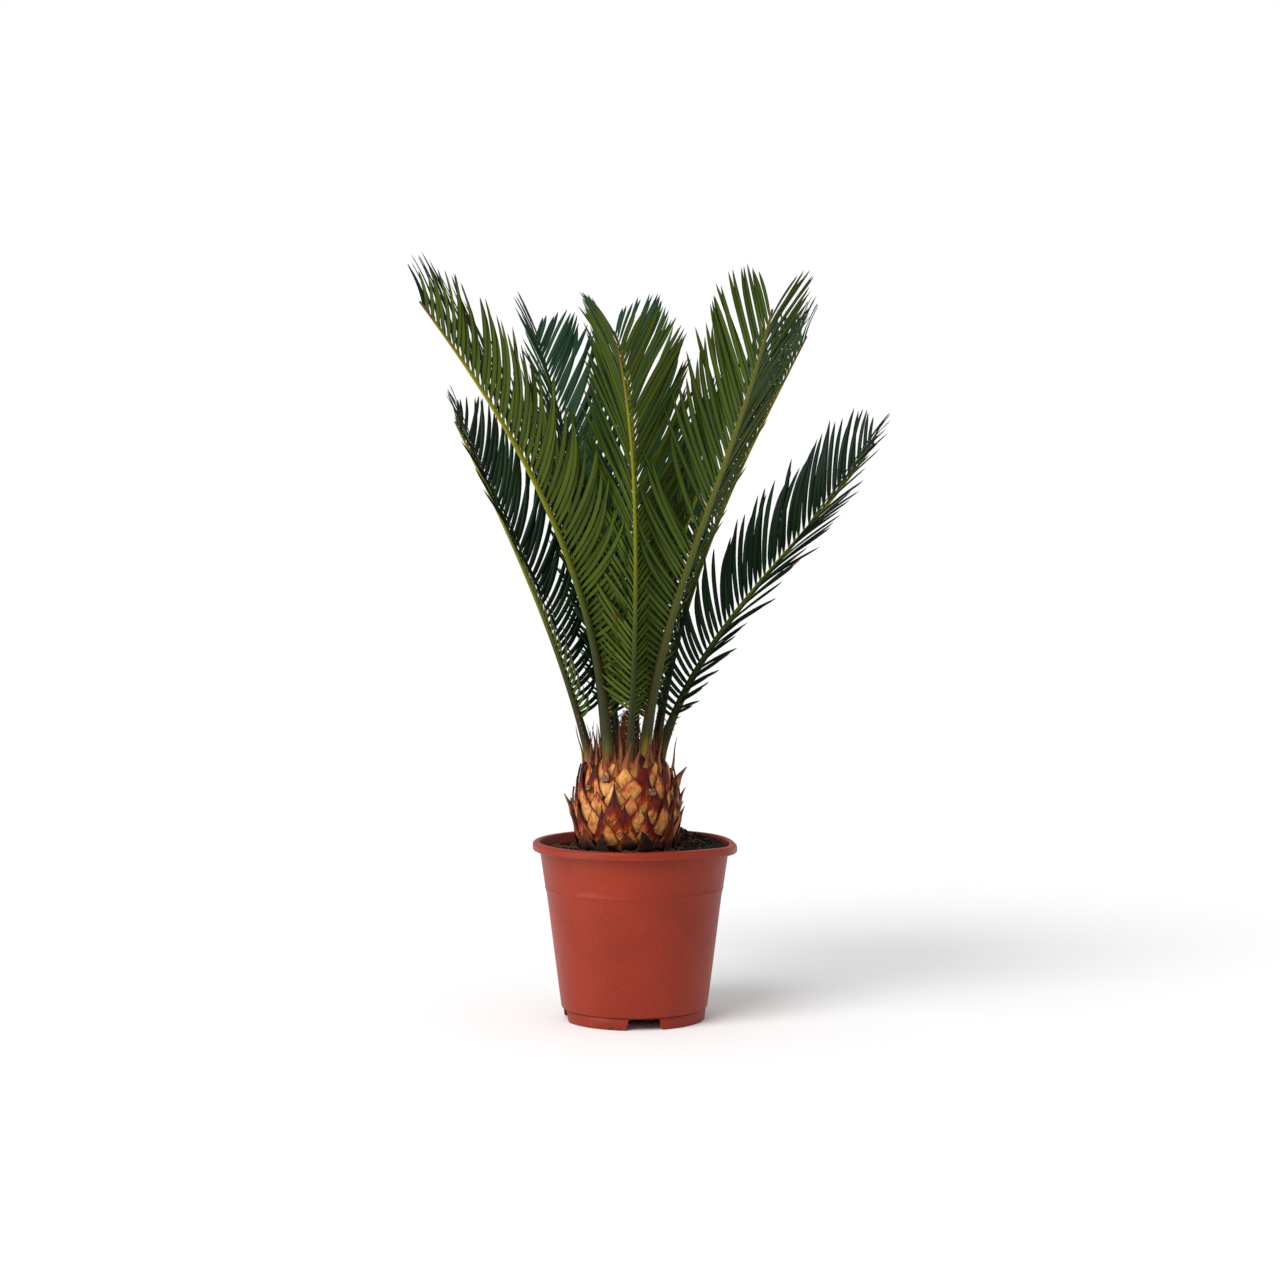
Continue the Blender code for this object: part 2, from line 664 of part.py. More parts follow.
def main():
    clear_scene()
    palm = new_collection("sago_palm")
    pot_cutters = new_collection("pot_cutters", helper=True)
    trunk_cutters = new_collection("trunk_cutters", helper=True)
    build_pot(palm, pot_cutters)
    soil = build_soil(palm)
    ribs = {name: rib_mesh(frond) for name, frond in FRONDS.items()}
    bud = build_bud(palm)
    trunk = build_trunk(palm, trunk_cutters, [*map(tree_of, ribs.values()), tree_of(bud.data)])
    build_fronds(palm, ribs, [tree_of(part.data) for part in (soil, trunk, bud)])
    for cutter in [*pot_cutters.objects, *trunk_cutters.objects]:
        cutter.hide_render = True
        cutter.display_type = "WIRE"


main()
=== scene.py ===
"""The looks of a potted sago palm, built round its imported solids.

Lengths are in metres where nothing else is said, angles in degrees, +Z is up and -Y is the front.
The rule that shapes the fronds, and its sizes, are those of the solids, written again here for ribs
with finer leaflets.
"""

import json
import random
from dataclasses import dataclass
from math import cos, degrees, exp, hypot, pi, radians, sin

import bmesh
import bpy
from mathutils import Matrix, Vector, noise
from mathutils.bvhtree import BVHTree

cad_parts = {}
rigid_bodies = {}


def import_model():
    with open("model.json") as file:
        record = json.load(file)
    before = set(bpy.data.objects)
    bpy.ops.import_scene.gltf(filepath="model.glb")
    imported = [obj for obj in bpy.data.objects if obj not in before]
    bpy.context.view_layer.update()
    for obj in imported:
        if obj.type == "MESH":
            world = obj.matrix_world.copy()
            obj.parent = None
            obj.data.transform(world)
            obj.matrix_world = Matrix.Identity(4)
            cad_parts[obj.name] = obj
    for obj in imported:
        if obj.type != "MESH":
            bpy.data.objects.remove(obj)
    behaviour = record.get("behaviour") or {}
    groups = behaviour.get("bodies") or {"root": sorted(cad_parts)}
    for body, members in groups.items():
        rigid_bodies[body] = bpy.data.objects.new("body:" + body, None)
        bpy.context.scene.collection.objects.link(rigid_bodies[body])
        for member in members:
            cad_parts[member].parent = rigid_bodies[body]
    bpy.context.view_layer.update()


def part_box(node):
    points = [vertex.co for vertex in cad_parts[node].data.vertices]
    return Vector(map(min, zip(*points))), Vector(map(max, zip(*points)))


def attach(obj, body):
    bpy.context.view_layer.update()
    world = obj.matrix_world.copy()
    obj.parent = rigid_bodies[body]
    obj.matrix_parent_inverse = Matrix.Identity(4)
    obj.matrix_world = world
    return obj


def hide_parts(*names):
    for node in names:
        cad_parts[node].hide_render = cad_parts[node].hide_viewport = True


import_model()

MM = 0.001
UP = Vector((0.0, 0.0, 1.0))
GOLDEN_ANGLE = 137.508
WHITE = (1.0, 1.0, 1.0)

# Camera and light
CAMERA_PLACE = (0.00477, -2.1773, 0.4192)
CAMERA_PITCH = 2.6425  # below level
CAMERA_LENS = 73.125  # mm, on a sensor 36 mm wide
SKY_LIGHT = 0.62
KEY_LIGHT = 1.9
KEY_SOFTNESS = 35.0
KEY_AZIMUTH = -128.0
KEY_HEIGHT = 48.0
PANEL_PLACE = Vector((-1.3, -0.8, 0.25))
PANEL_AIM = Vector((0.0, 0.0, 0.3))
PANEL_SIZE = 0.7
PANEL_POWER = 9.0
FLOOR_REACH = 60.0

# Pot
POT_LOW, POT_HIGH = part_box("pot")
POT_HEIGHT = POT_HIGH.z - POT_LOW.z
RIM_RADIUS = (POT_HIGH.x - POT_LOW.x) / 2
RIM_INNER_RADIUS = RIM_RADIUS - 6 * MM
RIM_TALL = 6.6 * MM
WALL = 1.5 * MM
FOOT_RADIUS = 59.4 * MM
FOOT_HEIGHT = 10.4 * MM
BODY_FOOT_RADIUS = 61.5 * MM
BODY_TAPER = 0.129
STEP_Z = 111 * MM
STEP_OUT = 0.8 * MM
STEP_RISE = 2 * MM
STEP_HOLLOW = 7 * MM
GROOVE_DEEP = 1.2 * MM
GROOVE_TALL = 0.6 * MM
COLLAR_TAPER = 0.13
FLOOR_THICKNESS = 1.6 * MM
FLOOR_TOP = FOOT_HEIGHT + FLOOR_THICKNESS
DISH_RADIUS = 40 * MM
PAD_RADIUS = 18 * MM
NOTCH_COUNT = 4
NOTCH_AZIMUTH = -82.0
NOTCH_WIDTH = 27 * MM
NOTCH_HEIGHT = 9.4 * MM
NOTCH_ROUND = 2 * MM
FOOT_ROUND = 4.5 * MM
DRAIN_COUNT = 4
DRAIN_RADIUS = 4.5 * MM
DRAIN_RING = 49 * MM
DRAIN_SIDES = 24
POT_SEGMENTS = 240
# Small rounds, and what sets a moulded pot off from a perfect one
EASE = 0.3 * MM
EDGE_ROUND = 0.7 * MM
RIM_ROUND = 2.6 * MM
LIP_ROUND = 1.4 * MM
WARP = 0.5 * MM
WAVER = 0.25 * MM
RIM_SAG = 2.6 * MM
RIM_SAG_AZIMUTH = -8.0
RIM_SAG_WIDE = 26.0
FLASH_OUT = 1.5 * MM
FLASH_AZIMUTH = 2.0
FLASH_WIDE = 7.0
RAGGED = 0.8 * MM

# Soil
SOIL_Z = 143.6 * MM
SOIL_RAISE = 6 * MM
SOIL_RAISE_AZIMUTH = 42.0
SOIL_CLUMP = (40 * MM, 57 * MM)
SOIL_CLUMP_WIDE = 9 * MM
SOIL_CLUMP_TALL = 5 * MM
SOIL_RINGS = 80
SOIL_SEGMENTS = 300
SOIL_LUMPS = ((1.1, 14, 0), (0.8, 5, 5), (0.5, 2, 9))  # height and pitch in millimetres, seed
SOIL_SUNK = 0.6 * MM
SOIL_EDGE_SUNK = 1.8 * MM
SOIL_GAP = 0.4 * MM
SOIL_REACH = 76 * MM
TRUNK_REACH = 36 * MM
CRUMB_COUNT = 2600
CRUMB_LEAST = 0.45 * MM
CRUMB_SPREAD = 1.3 * MM
BARK_SHARE = 0.06
FIBRE_COUNT = 130
FIBRE_LENGTHS = (7, 11, 16, 22, 32)  # mm
FIBRE_ARCH = 1.6 * MM
FIBRE_STEPS = 8
STRAY_COUNT = 48
STRAY_STEPS = 7

# Trunk
TRUNK_X = -6.4 * MM
TRUNK_FOOT_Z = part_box("trunk")[0].z
CROWN_Z = 214 * MM
TRUNK_TALL = CROWN_Z - TRUNK_FOOT_Z
# The trunk's radius in millimetres, by share of its height
BARREL = ((0.0, 38.5), (0.15, 41.0), (0.4, 41.5), (0.62, 40.0), (0.8, 36.5), (0.93, 33.5), (1.0, 31.5))
CROWN_RADIUS = BARREL[-1][1] * MM
DOME_SLOPE = 0.9
CORE_RINGS = 20
CORE_SIDES = 48
BASE_COUNT = 92
RED_SHARE = 0.34
POINTED_SHARE = 0.62
POINTED_TO = 0.86
BASE_WIDTH = 24 * MM
BASE_HEIGHT = 29 * MM
BASE_SUNK = 3.0 * MM
BASE_LIFT = 3.6 * MM
BASE_WIDEST = 0.46
POINT_LIFT = 0.7
BASE_SIZES = ((0.0, 0.9), (0.4, 1.0), (0.75, 0.95), (0.9, 0.85), (1.05, 0.62))
BASE_ROWS = 20
BASE_COLUMNS = (-1.0, -0.93, -0.84, -0.66, -0.45, -0.24, 0.0, 0.24, 0.45, 0.66, 0.84, 0.93, 1.0)
# How far above its foot the trunk is darkened toward the soil
DARK_FOOT_TALL = 17 * MM
FLAP_COUNT = 19
FLAP_LIFT = 3.2 * MM
FLAP_ROWS = 12
FLAP_COLUMNS = (-1.0, -0.66, -0.33, 0.0, 0.33, 0.66, 1.0)
FLAP_OUTLINE = ((0.0, 0.9), (0.2, 1.0), (0.55, 0.55), (1.0, 0.0))
# Cut stalks: azimuth, share of the trunk's height, rise for each unit outward, half width in millimetres
STUBS = ((-115, 0.86, 0.35, 3.6), (-136, 0.72, 0.5, 2.6), (-62, 0.7, 0.3, 3.6), (-20, 0.5, 0.7, 3.0),
         (35, 0.7, 0.7, 3.8), (120, 0.66, 0.7, 3.8))
STUB_LENGTH = 11 * MM
STUB_RINGS = 9
STUB_SIDES = 24
# Dried bases that stand off: azimuth, share of the trunk's height, length and width in millimetres, lean
HORNS = ((181, 0.36, 23, 12, 34), (192, 0.5, 10, 10, 48), (-6, 0.74, 20, 14, 50), (4, 0.5, 17, 9, 34),
         (-14, 0.4, 14, 9, 40), (2, 0.3, 15, 9, 28), (1, 0.86, 34, 4, 14), (172, 0.86, 44, 4, 12),
         (60, 0.6, 15, 10, 45), (100, 0.5, 16, 10, 40), (140, 0.72, 13, 10, 50))
# Broad bracts at the crown's edge: azimuth, length and width in millimetres, lean, sideways bend
CROWN_BRACTS = ((-90, 34, 8, 2, 22), (-78, 27, 6, 6, 30), (-64, 27, 7, 4, 30), (-118, 26, 5, 0, -14),
                (-136, 34, 5, 4, 12), (-35, 40, 5, 4, 14), (-150, 22, 7, 6, -20), (-105, 16, 7, 4, 20),
                (30, 30, 7, 6, 20), (75, 34, 8, 4, -24), (110, 26, 6, 6, 28), (150, 32, 6, 4, -16))
BUD_RADIUS = 8.5 * MM
BUD_HEIGHT = 46 * MM
BUD_OUTLINE = ((0.0, 0.8), (0.2, 1.0), (0.5, 0.85), (0.8, 0.45), (1.0, 0.04))
BUD_RINGS = 24
BUD_SIDES = 28
BUD_HAIRS = 700
CROWN_HAIRS = 2200
EDGE_BRACTS = 34
INNER_BRACTS = 30
BRACT_POINTS = 11
BRACT_SUNK = 4 * MM
BRACT_OUTLINE = ((0.0, 1.0), (0.2, 0.95), (0.45, 0.55), (0.7, 0.28), (1.0, 0.1))
HORN_OUTLINE = ((0.0, 0.2), (0.25, 0.9), (0.4, 0.75), (0.65, 0.4), (1.0, 0.08))

# Fronds, by the rule of the solids. Each table goes from the foot of the rib, or of its rows of leaflets,
# to the tip. Radii and widths are in millimetres, and lengths are shares of the longest leaflet's.
RIB_RADII = ((0.0, 6.0), (0.015, 5.2), (0.04, 4.4), (0.12, 3.6), (0.3, 2.6), (0.6, 1.85),
             (0.85, 1.3), (1.0, 0.8))
RIB_BROWN = ((0.0, 0.2), (0.05, 1.0), (0.4, 0.5), (1.0, 0.2))  # how far the edges turn brown
FRESH_TO = 0.07
RIB_BELOW = 7 * MM
RIB_STEPS = 240
RIB_RING_EVERY = 4
RIB_SIDES = 12
RIB_FLAT = 0.92
SPINES_FROM = 0.045
LEAFLET_PITCH = 6.0 * MM
LEAFLET_WIDTHS = ((0.0, 3.3), (0.15, 3.9), (0.5, 4.5), (0.8, 4.2), (1.0, 3.3))
LEAFY_TO = 0.985
CROWDING = 0.26  # how much closer the leaflets stand at the rib's foot than at its tip
LENGTHS = ((0.0, 0.36), (0.06, 0.46), (0.12, 0.56), (0.2, 0.68), (0.3, 0.84), (0.45, 0.98), (0.6, 1.0),
           (0.75, 0.94), (0.88, 0.8), (0.94, 0.62), (0.97, 0.45), (1.0, 0.36))
ANGLES = ((0.0, 74.0), (0.15, 56.0), (0.3, 45.0), (0.5, 37.0), (0.75, 33.0), (0.9, 34.0), (1.0, 30.0))
SWEEPS = ((0.0, 34.0), (0.3, 30.0), (0.7, 18.0), (1.0, 4.0))
SWEEP_BEFORE = 0.35
KEEL = 56.0
OPENING = 38.0
DROOP = 0.05
SHORTER = (1.0, 0.85, 0.7, 0.5)  # what is tried where a leaflet would touch another frond's rib
STUB_LEAFLET = 9 * MM
DRY_SHARE = 0.04

# A leaflet's half width along its length, and where its rings of points stand
OUTLINE = ((0.0, 0.34), (0.03, 0.4), (0.07, 0.66), (0.14, 0.95), (0.3, 1.0), (0.68, 0.96), (0.82, 0.76),
           (0.92, 0.45), (0.975, 0.18), (1.0, 0.03))
STATIONS = (0.0, 0.028, 0.05, 0.09, 0.15, 0.24, 0.35, 0.47, 0.59, 0.7, 0.79, 0.87, 0.93, 0.97, 1.0)
# Across a leaflet: the share of its half width and the height in millimetres, from its left edge over
# its upper side to its right edge, and back under it past the midline
SECTION = ((-1.0, -0.5), (-0.6, 0.0), (0.0, 0.12), (0.6, 0.0), (1.0, -0.5),
           (0.8, -0.36), (0.14, -0.5), (-0.14, -0.5), (-0.8, -0.36))
FOOT_RINGS = 2
TIP_RINGS = 3
# Where each finish stands in a leaflet's list of materials: three tones above, three below, then the
# margins, darkened as painted shade, the midline, paler as the midrib's own colour and a painted highlight,
# the foot and the dry tip
UPPER, UNDER, SHADED_EDGE, MIDRIB_AND_HIGHLIGHT, FOOT, DRY = 0, 3, 6, 7, 8, 9


@dataclass(frozen=True)
class Frond:
    """One frond: where its rib stands on the crown, how it leans and how its rows are turned.

    The seat, the rib's length and the longest leaflet are in millimetres. The lean and the roll are
    given at the foot, the middle and the tip.
    """

    seat: tuple
    azimuth: float
    lean: tuple
    veer: float
    length: float
    roll: tuple = (0, 0, 0)
    leaflet: float = 103
    bare: float = 0.125
    girth: float = 1.0
    # A tone of "blue" gives upper sides made paler and bluer as a painted sheen.
    # A tone of "light" gives undersides made lighter than the rest as painted light.
    tone: str = "green"
    dull: float = 0.0  # how far the rib's yellow-green turns to olive
    fresh: float = 0.0  # how far its foot is still a bright yellow-green
    cut: tuple = ()  # stretches of the rib where one row's leaflets are stubs


FRONDS = {
    # The two front fronds wear undersides lightened as painted light.
    "frond_left_front": Frond((-20.5, -18), -125, (4, 30.5, 42), -20, 432, (-10, -16, -22), 108,
                              girth=1.2, tone="light"),
    "frond_front": Frond((-4.5, -25), -78, (18, 23, 43), -26, 379, (-4, -6, -10), girth=0.75,
                         tone="light"),
    "frond_right_front": Frond((7.5, -18), -59, (9, 36, 29), -7, 425, (14, 2, -14), 107, girth=1.2,
                               dull=0.7, fresh=0.9, cut=((0.478, 0.507), (0.528, 0.545))),
    "frond_right": Frond((20, 3), 18, (14, 41, 35), -3, 336, (40, 38, 0), 89),
    "frond_left": Frond((-36, 0), 156, (15, 27, 33), -15, 324, (30, -6, 22), 86),
    # The three back fronds wear upper sides made paler and bluer as a painted sheen.
    "frond_right_back": Frond((17, 18), 51, (10, 30, 34), -12, 418, (-8, -14, -12), tone="blue"),
    "frond_left_back": Frond((-19, 15), 117, (4, 25, 45), -3, 416, (0, 5, 25), tone="blue"),
    "frond_back": Frond((-1.5, 27), 81, (23, 13, 59), 25, 416, tone="blue"),
    "frond_low_back": Frond((-12.5, 24), 104, (26, 44, 58), 0, 350, leaflet=90),
    "frond_inner_left": Frond((-24, -2), 176, (3, 14, 27), 0, 318, leaflet=84, girth=0.8),
    "frond_inner_right": Frond((9, 1), 2, (3, 14, 27), 0, 318, leaflet=84, girth=0.8),
}


# ---- Helpers ----


def linear(red, green, blue):
    """An sRGB colour, 0 to 255, as the linear values that Blender mixes."""
    shares = (red / 255, green / 255, blue / 255)
    return tuple(s / 12.92 if s <= 0.04045 else ((s + 0.055) / 1.055) ** 2.4 for s in shares)


def between(stops, share):
    """The value at share of a line through the (share, value) stops. A value may be a tuple."""
    for (low, first), (high, second) in zip(stops, stops[1:]):
        if share <= high:
            part = max(0.0, (share - low) / (high - low))
            if isinstance(first, tuple):
                return tuple(a + (b - a) * part for a, b in zip(first, second))
            return first + (second - first) * part
    return stops[-1][1]


def clamp(share):
    return min(1.0, max(0.0, share))


def mix(first, second, part):
    part = clamp(part)
    return tuple(a + (b - a) * part for a, b in zip(first, second))


def around(azimuth, radius=1.0, z=0.0):
    return Vector((radius * cos(radians(azimuth)), radius * sin(radians(azimuth)), z))


def turns(count):
    """As many azimuths as count, evenly spaced all round."""
    return [360 * i / count for i in range(count)]


def off_trunk(out, far, z):
    """The point at height z that is far from the trunk's axis, toward out."""
    return Vector((TRUNK_X, 0.0, z)) + out * far


def wave(point, pitch, seed=0.0):
    """Smooth noise from -1 to 1 that changes over about the pitch."""
    return noise.noise(Vector(point) / pitch + Vector((seed, 1.7 * seed, -seed)))


def make_mesh(name, points, faces):
    mesh = bpy.data.meshes.new(name)
    mesh.from_pydata(points, [], faces)
    return mesh


def put(name, data):
    """A new object with the data, in the scene."""
    obj = bpy.data.objects.new(name, data)
    bpy.context.scene.collection.objects.link(obj)
    return obj


def settle(obj, replaced=()):
    """The piece rides on the plant and stands for the replaced nodes."""
    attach(obj, "root")
    if replaced:
        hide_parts(*replaced)


class Shape:
    """Points, faces, a material slot for each face and a colour for each point."""

    def __init__(self):
        self.points, self.faces, self.slots, self.colours = [], [], [], []

    def add(self, points, faces, slots=0, colours=WHITE):
        first = len(self.points)
        self.points += points
        self.faces += [[first + corner for corner in face] for face in faces]
        self.slots += slots if isinstance(slots, list) else [slots] * len(faces)
        self.colours += colours if isinstance(colours, list) else [colours] * len(points)

    def piece(self, name, materials, slot, replaced=(), sharp=None):
        mesh = make_mesh(name, self.points, self.faces)
        for material in materials:
            mesh.materials.append(material)
        mesh.polygons.foreach_set("material_index", self.slots)
        tints = mesh.color_attributes.new("tint", "FLOAT_COLOR", "POINT")
        tints.data.foreach_set("color", [part for tint in self.colours for part in (*tint, 1.0)])
        mesh.shade_smooth()
        if sharp is not None:
            mesh.set_sharp_from_angle(angle=radians(sharp))
        settle(put(name, mesh), replaced)


def strip(rings, sides, first=0):
    """The faces between rings of points, numbered ring by ring from first."""
    faces = []
    for i in range(rings - 1):
        low, high = first + i * sides, first + (i + 1) * sides
        for j in range(sides):
            k = (j + 1) % sides
            faces.append((low + j, low + k, high + k, high + j))
    return faces


def tube(shape, rings, slots=0, colours=WHITE):
    """Closed strip through rings of as many points each, with flat ends.

    A list of slots or colours has one for each ring.
    """
    sides, last = len(rings[0]), len(rings) - 1
    kinds = slots if isinstance(slots, list) else [slots] * len(rings)
    tints = colours if isinstance(colours, list) else [colours] * len(rings)
    faces = [list(range(sides))[::-1], *strip(len(rings), sides), [last * sides + j for j in range(sides)]]
    kinds = [kinds[0], *(kind for kind in kinds[:last] for _ in range(sides)), kinds[last]]
    points = [point for ring in rings for point in ring]
    shape.add(points, faces, kinds, [tint for tint in tints for _ in range(sides)])


def blade(shape, path, upward, widths, thickness, slots=0, colours=WHITE):
    """A thin strip along a path, four-sided, wide across the path and upward.

    The thickness may be a list, one for each point of the path.
    """
    rings = []
    for i, point in enumerate(path):
        ahead = (path[min(i + 1, len(path) - 1)] - path[max(i - 1, 0)]).normalized()
        across = ahead.cross(upward).normalized()
        over = across.cross(ahead)
        half = widths[i] / 2
        deep = thickness[i] / 2 if isinstance(thickness, list) else min(thickness, widths[i]) / 2
        rings.append([point + across * half, point + over * deep, point - across * half,
                      point - over * deep])
    tube(shape, rings, slots, colours)


# ---- Materials ----


def add_node(tree, kind, inputs, output, **settings):
    """The output of a new node with these settings. Its inputs are other outputs or fixed values."""
    made = tree.nodes.new(kind)
    for key, value in settings.items():
        setattr(made, key, value)
    for key, value in inputs.items():
        target = made.inputs[key]
        if isinstance(value, bpy.types.NodeSocket):
            tree.links.new(value, target)
        else:
            target.default_value = (*value, 1.0) if target.type == "RGBA" else value
    return made.outputs[output]


class Finish:
    """A material with a Principled shader, and short ways to add the nodes that feed it."""

    def __init__(self, name, colour, roughness, specular=0.5):
        self.material = bpy.data.materials.new(name)
        self.material.use_nodes = True
        self.tree = self.material.node_tree
        self.shader = self.tree.nodes["Principled BSDF"]
        self.shader.inputs["Base Color"].default_value = (*colour, 1.0)
        self.shader.inputs["Roughness"].default_value = roughness
        self.shader.inputs["Specular IOR Level"].default_value = specular
        self.place = self.tree.nodes.new("ShaderNodeTexCoord").outputs["Object"]

    def node(self, kind, inputs, output, **settings):
        return add_node(self.tree, kind, inputs, output, **settings)

    def noise(self, size, detail=4.0, roughness=0.55, stretch=(1.0, 1.0, 1.0), distortion=0.0):
        """Noise with lumps of about size, in metres, drawn out by stretch."""
        scale = tuple(1.0 / s for s in stretch)
        place = self.node("ShaderNodeMapping", {"Vector": self.place, "Scale": scale}, "Vector")
        return self.node("ShaderNodeTexNoise", {
            "Vector": place, "Scale": 1.0 / size, "Detail": detail, "Roughness": roughness,
            "Distortion": distortion}, "Fac")

    def ramp(self, value, *stops):
        """Stops of (place, grey share) or (place, sRGB colour)."""
        colours = self.node("ShaderNodeValToRGB", {"Fac": value}, "Color")
        elements = colours.node.color_ramp.elements
        while len(elements) < len(stops):
            elements.new(0.5)
        for element, (place, shade) in zip(elements, stops):
            element.position = place
            colour = linear(*shade) if isinstance(shade, tuple) else (shade, shade, shade)
            element.color = (*colour, 1.0)
        return colours

    def blend(self, part, first, second, how="MIX"):
        """Mixes two colours, each an output or a tuple, by part, an output or a number."""
        return self.node("ShaderNodeMix", {0: part, 6: first, 7: second}, 2, data_type="RGBA",
                         blend_type=how)

    def stain(self, base, value, low, high, most, colour, how="MIX"):
        """The base with a colour laid over it, from none to most as the value goes from low to high."""
        return self.blend(self.ramp(value, (low, 0.0), (high, most)), base, linear(*colour), how)

    def span(self, value, low, high, first, second):
        """Runs from first to second as the value goes from low to high."""
        return self.node("ShaderNodeMapRange", {
            "Value": value, "From Min": low, "From Max": high, "To Min": first, "To Max": second},
            "Result")

    def tint(self):
        """The colour that each point of the mesh holds."""
        return self.node("ShaderNodeVertexColor", {}, "Color", layer_name="tint")

    def colour(self, output):
        self.tree.links.new(output, self.shader.inputs["Base Color"])

    def rough(self, value, low, high):
        """Roughness from low to high, over the middle of the value's range."""
        self.tree.links.new(self.span(value, 0.3, 0.7, low, high), self.shader.inputs["Roughness"])

    def bump(self, value, depth, strength=1.0):
        """Adds relief to the relief that is already there."""
        target = self.shader.inputs["Normal"]
        inputs = {"Strength": strength, "Distance": depth, "Height": value}
        if target.is_linked:
            inputs["Normal"] = target.links[0].from_socket
        self.tree.links.new(self.node("ShaderNodeBump", inputs, "Normal"), target)


def pot_plastic():
    """Terracotta-coloured plastic: cloudy, with pale scuffs, and soil dried on near the foot."""
    finish = Finish("terracotta_plastic", linear(132, 37, 16), 0.4, 0.22)
    cloud = finish.noise(60 * MM, detail=5.0)
    grain = finish.noise(1.2 * MM, detail=3.0)
    scuff = finish.noise(9 * MM, detail=8.0, roughness=0.7, stretch=(1.0, 1.0, 0.25), distortion=0.6)
    speck = finish.noise(2.4 * MM, detail=2.0)
    body = finish.ramp(cloud, (0.3, (122, 33, 14)), (0.7, (140, 42, 19)))
    body = finish.stain(body, grain, 0.42, 0.7, 0.28, (166, 68, 42))
    body = finish.stain(body, scuff, 0.66, 0.72, 0.28, (184, 104, 80))
    height = finish.node("ShaderNodeSeparateXYZ", {"Vector": finish.place}, "Z")
    low = finish.span(height, 3 * MM, 15 * MM, 1.0, 0.0)
    dirt = finish.blend(low, (0.0, 0.0, 0.0), finish.ramp(speck, (0.62, 0.0), (0.65, 0.9)))
    finish.colour(finish.blend(dirt, body, linear(52, 36, 30)))
    finish.rough(scuff, 0.36, 0.5)
    finish.bump(finish.noise(0.7 * MM, detail=2.0), 0.05 * MM, 0.35)
    finish.bump(cloud, 0.6 * MM, 0.3)
    return finish.material


def soil_mix():
    """Damp black peat with brown bits."""
    finish = Finish("potting_mix", linear(24, 19, 16), 0.9, 0.25)
    bits = finish.noise(1.6 * MM, detail=6.0, roughness=0.7)
    finish.colour(finish.ramp(bits, (0.3, (8, 6, 5)), (0.55, (25, 18, 14)), (0.75, (62, 44, 32))))
    finish.bump(bits, 1.0 * MM, 0.8)
    return finish.material


def crumb_mix():
    finish = Finish("peat_crumbs", linear(30, 24, 20), 0.95, 0.2)
    finish.colour(finish.tint())
    finish.bump(finish.noise(0.6 * MM, detail=4.0), 0.3 * MM, 0.8)
    return finish.material


def fibre_skin():
    finish = Finish("dry_root_fibre", linear(116, 76, 44), 0.75, 0.2)
    finish.rough(finish.noise(1.0 * MM), 0.65, 0.85)
    return finish.material


def leaf_base_skin():
    """Fleshy leaf bases: each point's own tint, with fine upright fibres, stains and small dark dots."""
    finish = Finish("leaf_bases", linear(200, 155, 95), 0.5, 0.18)
    fibres = finish.noise(0.9 * MM, detail=5.0, roughness=0.65, stretch=(1.0, 1.0, 9.0))
    blots = finish.noise(7 * MM, detail=6.0, roughness=0.7, distortion=0.5)
    dots = finish.noise(1.5 * MM, detail=1.0, stretch=(1.0, 1.0, 1.8))
    shade = finish.stain(finish.tint(), fibres, 0.42, 0.68, 0.75, (170, 84, 32), "MULTIPLY")
    shade = finish.stain(shade, blots, 0.47, 0.68, 0.8, (196, 86, 38), "MULTIPLY")
    finish.colour(finish.stain(shade, dots, 0.68, 0.73, 0.75, (60, 26, 12)))
    finish.rough(fibres, 0.42, 0.66)
    finish.bump(fibres, 0.25 * MM, 0.6)
    return finish.material


def dry_skin():
    """Dried bracts: papery, drawn out into fibres."""
    finish = Finish("dry_bracts", linear(95, 48, 28), 0.7, 0.3)
    fibres = finish.noise(0.7 * MM, detail=5.0, roughness=0.7, stretch=(1.0, 1.0, 10.0))
    finish.colour(finish.stain(finish.tint(), fibres, 0.35, 0.7, 0.6, (130, 80, 48), "MULTIPLY"))
    finish.bump(fibres, 0.2 * MM, 0.7)
    return finish.material


def cut_skin():
    """The grey, cracked end of a cut stalk."""
    finish = Finish("cut_face", linear(150, 120, 90), 0.85, 0.15)
    rays = finish.noise(1.2 * MM, detail=6.0, roughness=0.7)
    finish.colour(finish.ramp(rays, (0.35, (40, 25, 17)), (0.5, (112, 82, 56)), (0.65, (172, 140, 104))))
    finish.bump(rays, 0.5 * MM, 0.9)
    return finish.material


def felt_skin():
    finish = Finish("bud_felt", linear(92, 52, 30), 0.95, 0.15)
    fur = finish.noise(0.8 * MM, detail=6.0, roughness=0.7, stretch=(1.0, 1.0, 4.0))
    finish.colour(finish.ramp(fur, (0.3, (44, 22, 13)), (0.7, (132, 80, 48))))
    finish.bump(fur, 0.6 * MM, 0.9)
    return finish.material


def rib_skin():
    """A rib's own tint, with faint long streaks."""
    finish = Finish("frond_rib", linear(120, 125, 45), 0.5, 0.14)
    streaks = finish.noise(0.8 * MM, detail=4.0, stretch=(1.0, 1.0, 6.0))
    finish.colour(finish.stain(finish.tint(), streaks, 0.4, 0.75, 0.35, (110, 96, 70), "MULTIPLY"))
    finish.bump(streaks, 0.15 * MM, 0.5)
    return finish.material


def leaf_skin(name, colour, roughness, specular):
    """One plain tone of a leaflet, with a leathery grain."""
    finish = Finish(name, linear(*colour), roughness, specular)
    grain = finish.noise(1.5 * MM, detail=3.0)
    finish.rough(grain, roughness - 0.06, roughness + 0.06)
    finish.bump(grain, 0.08 * MM, 0.4)
    return finish.material


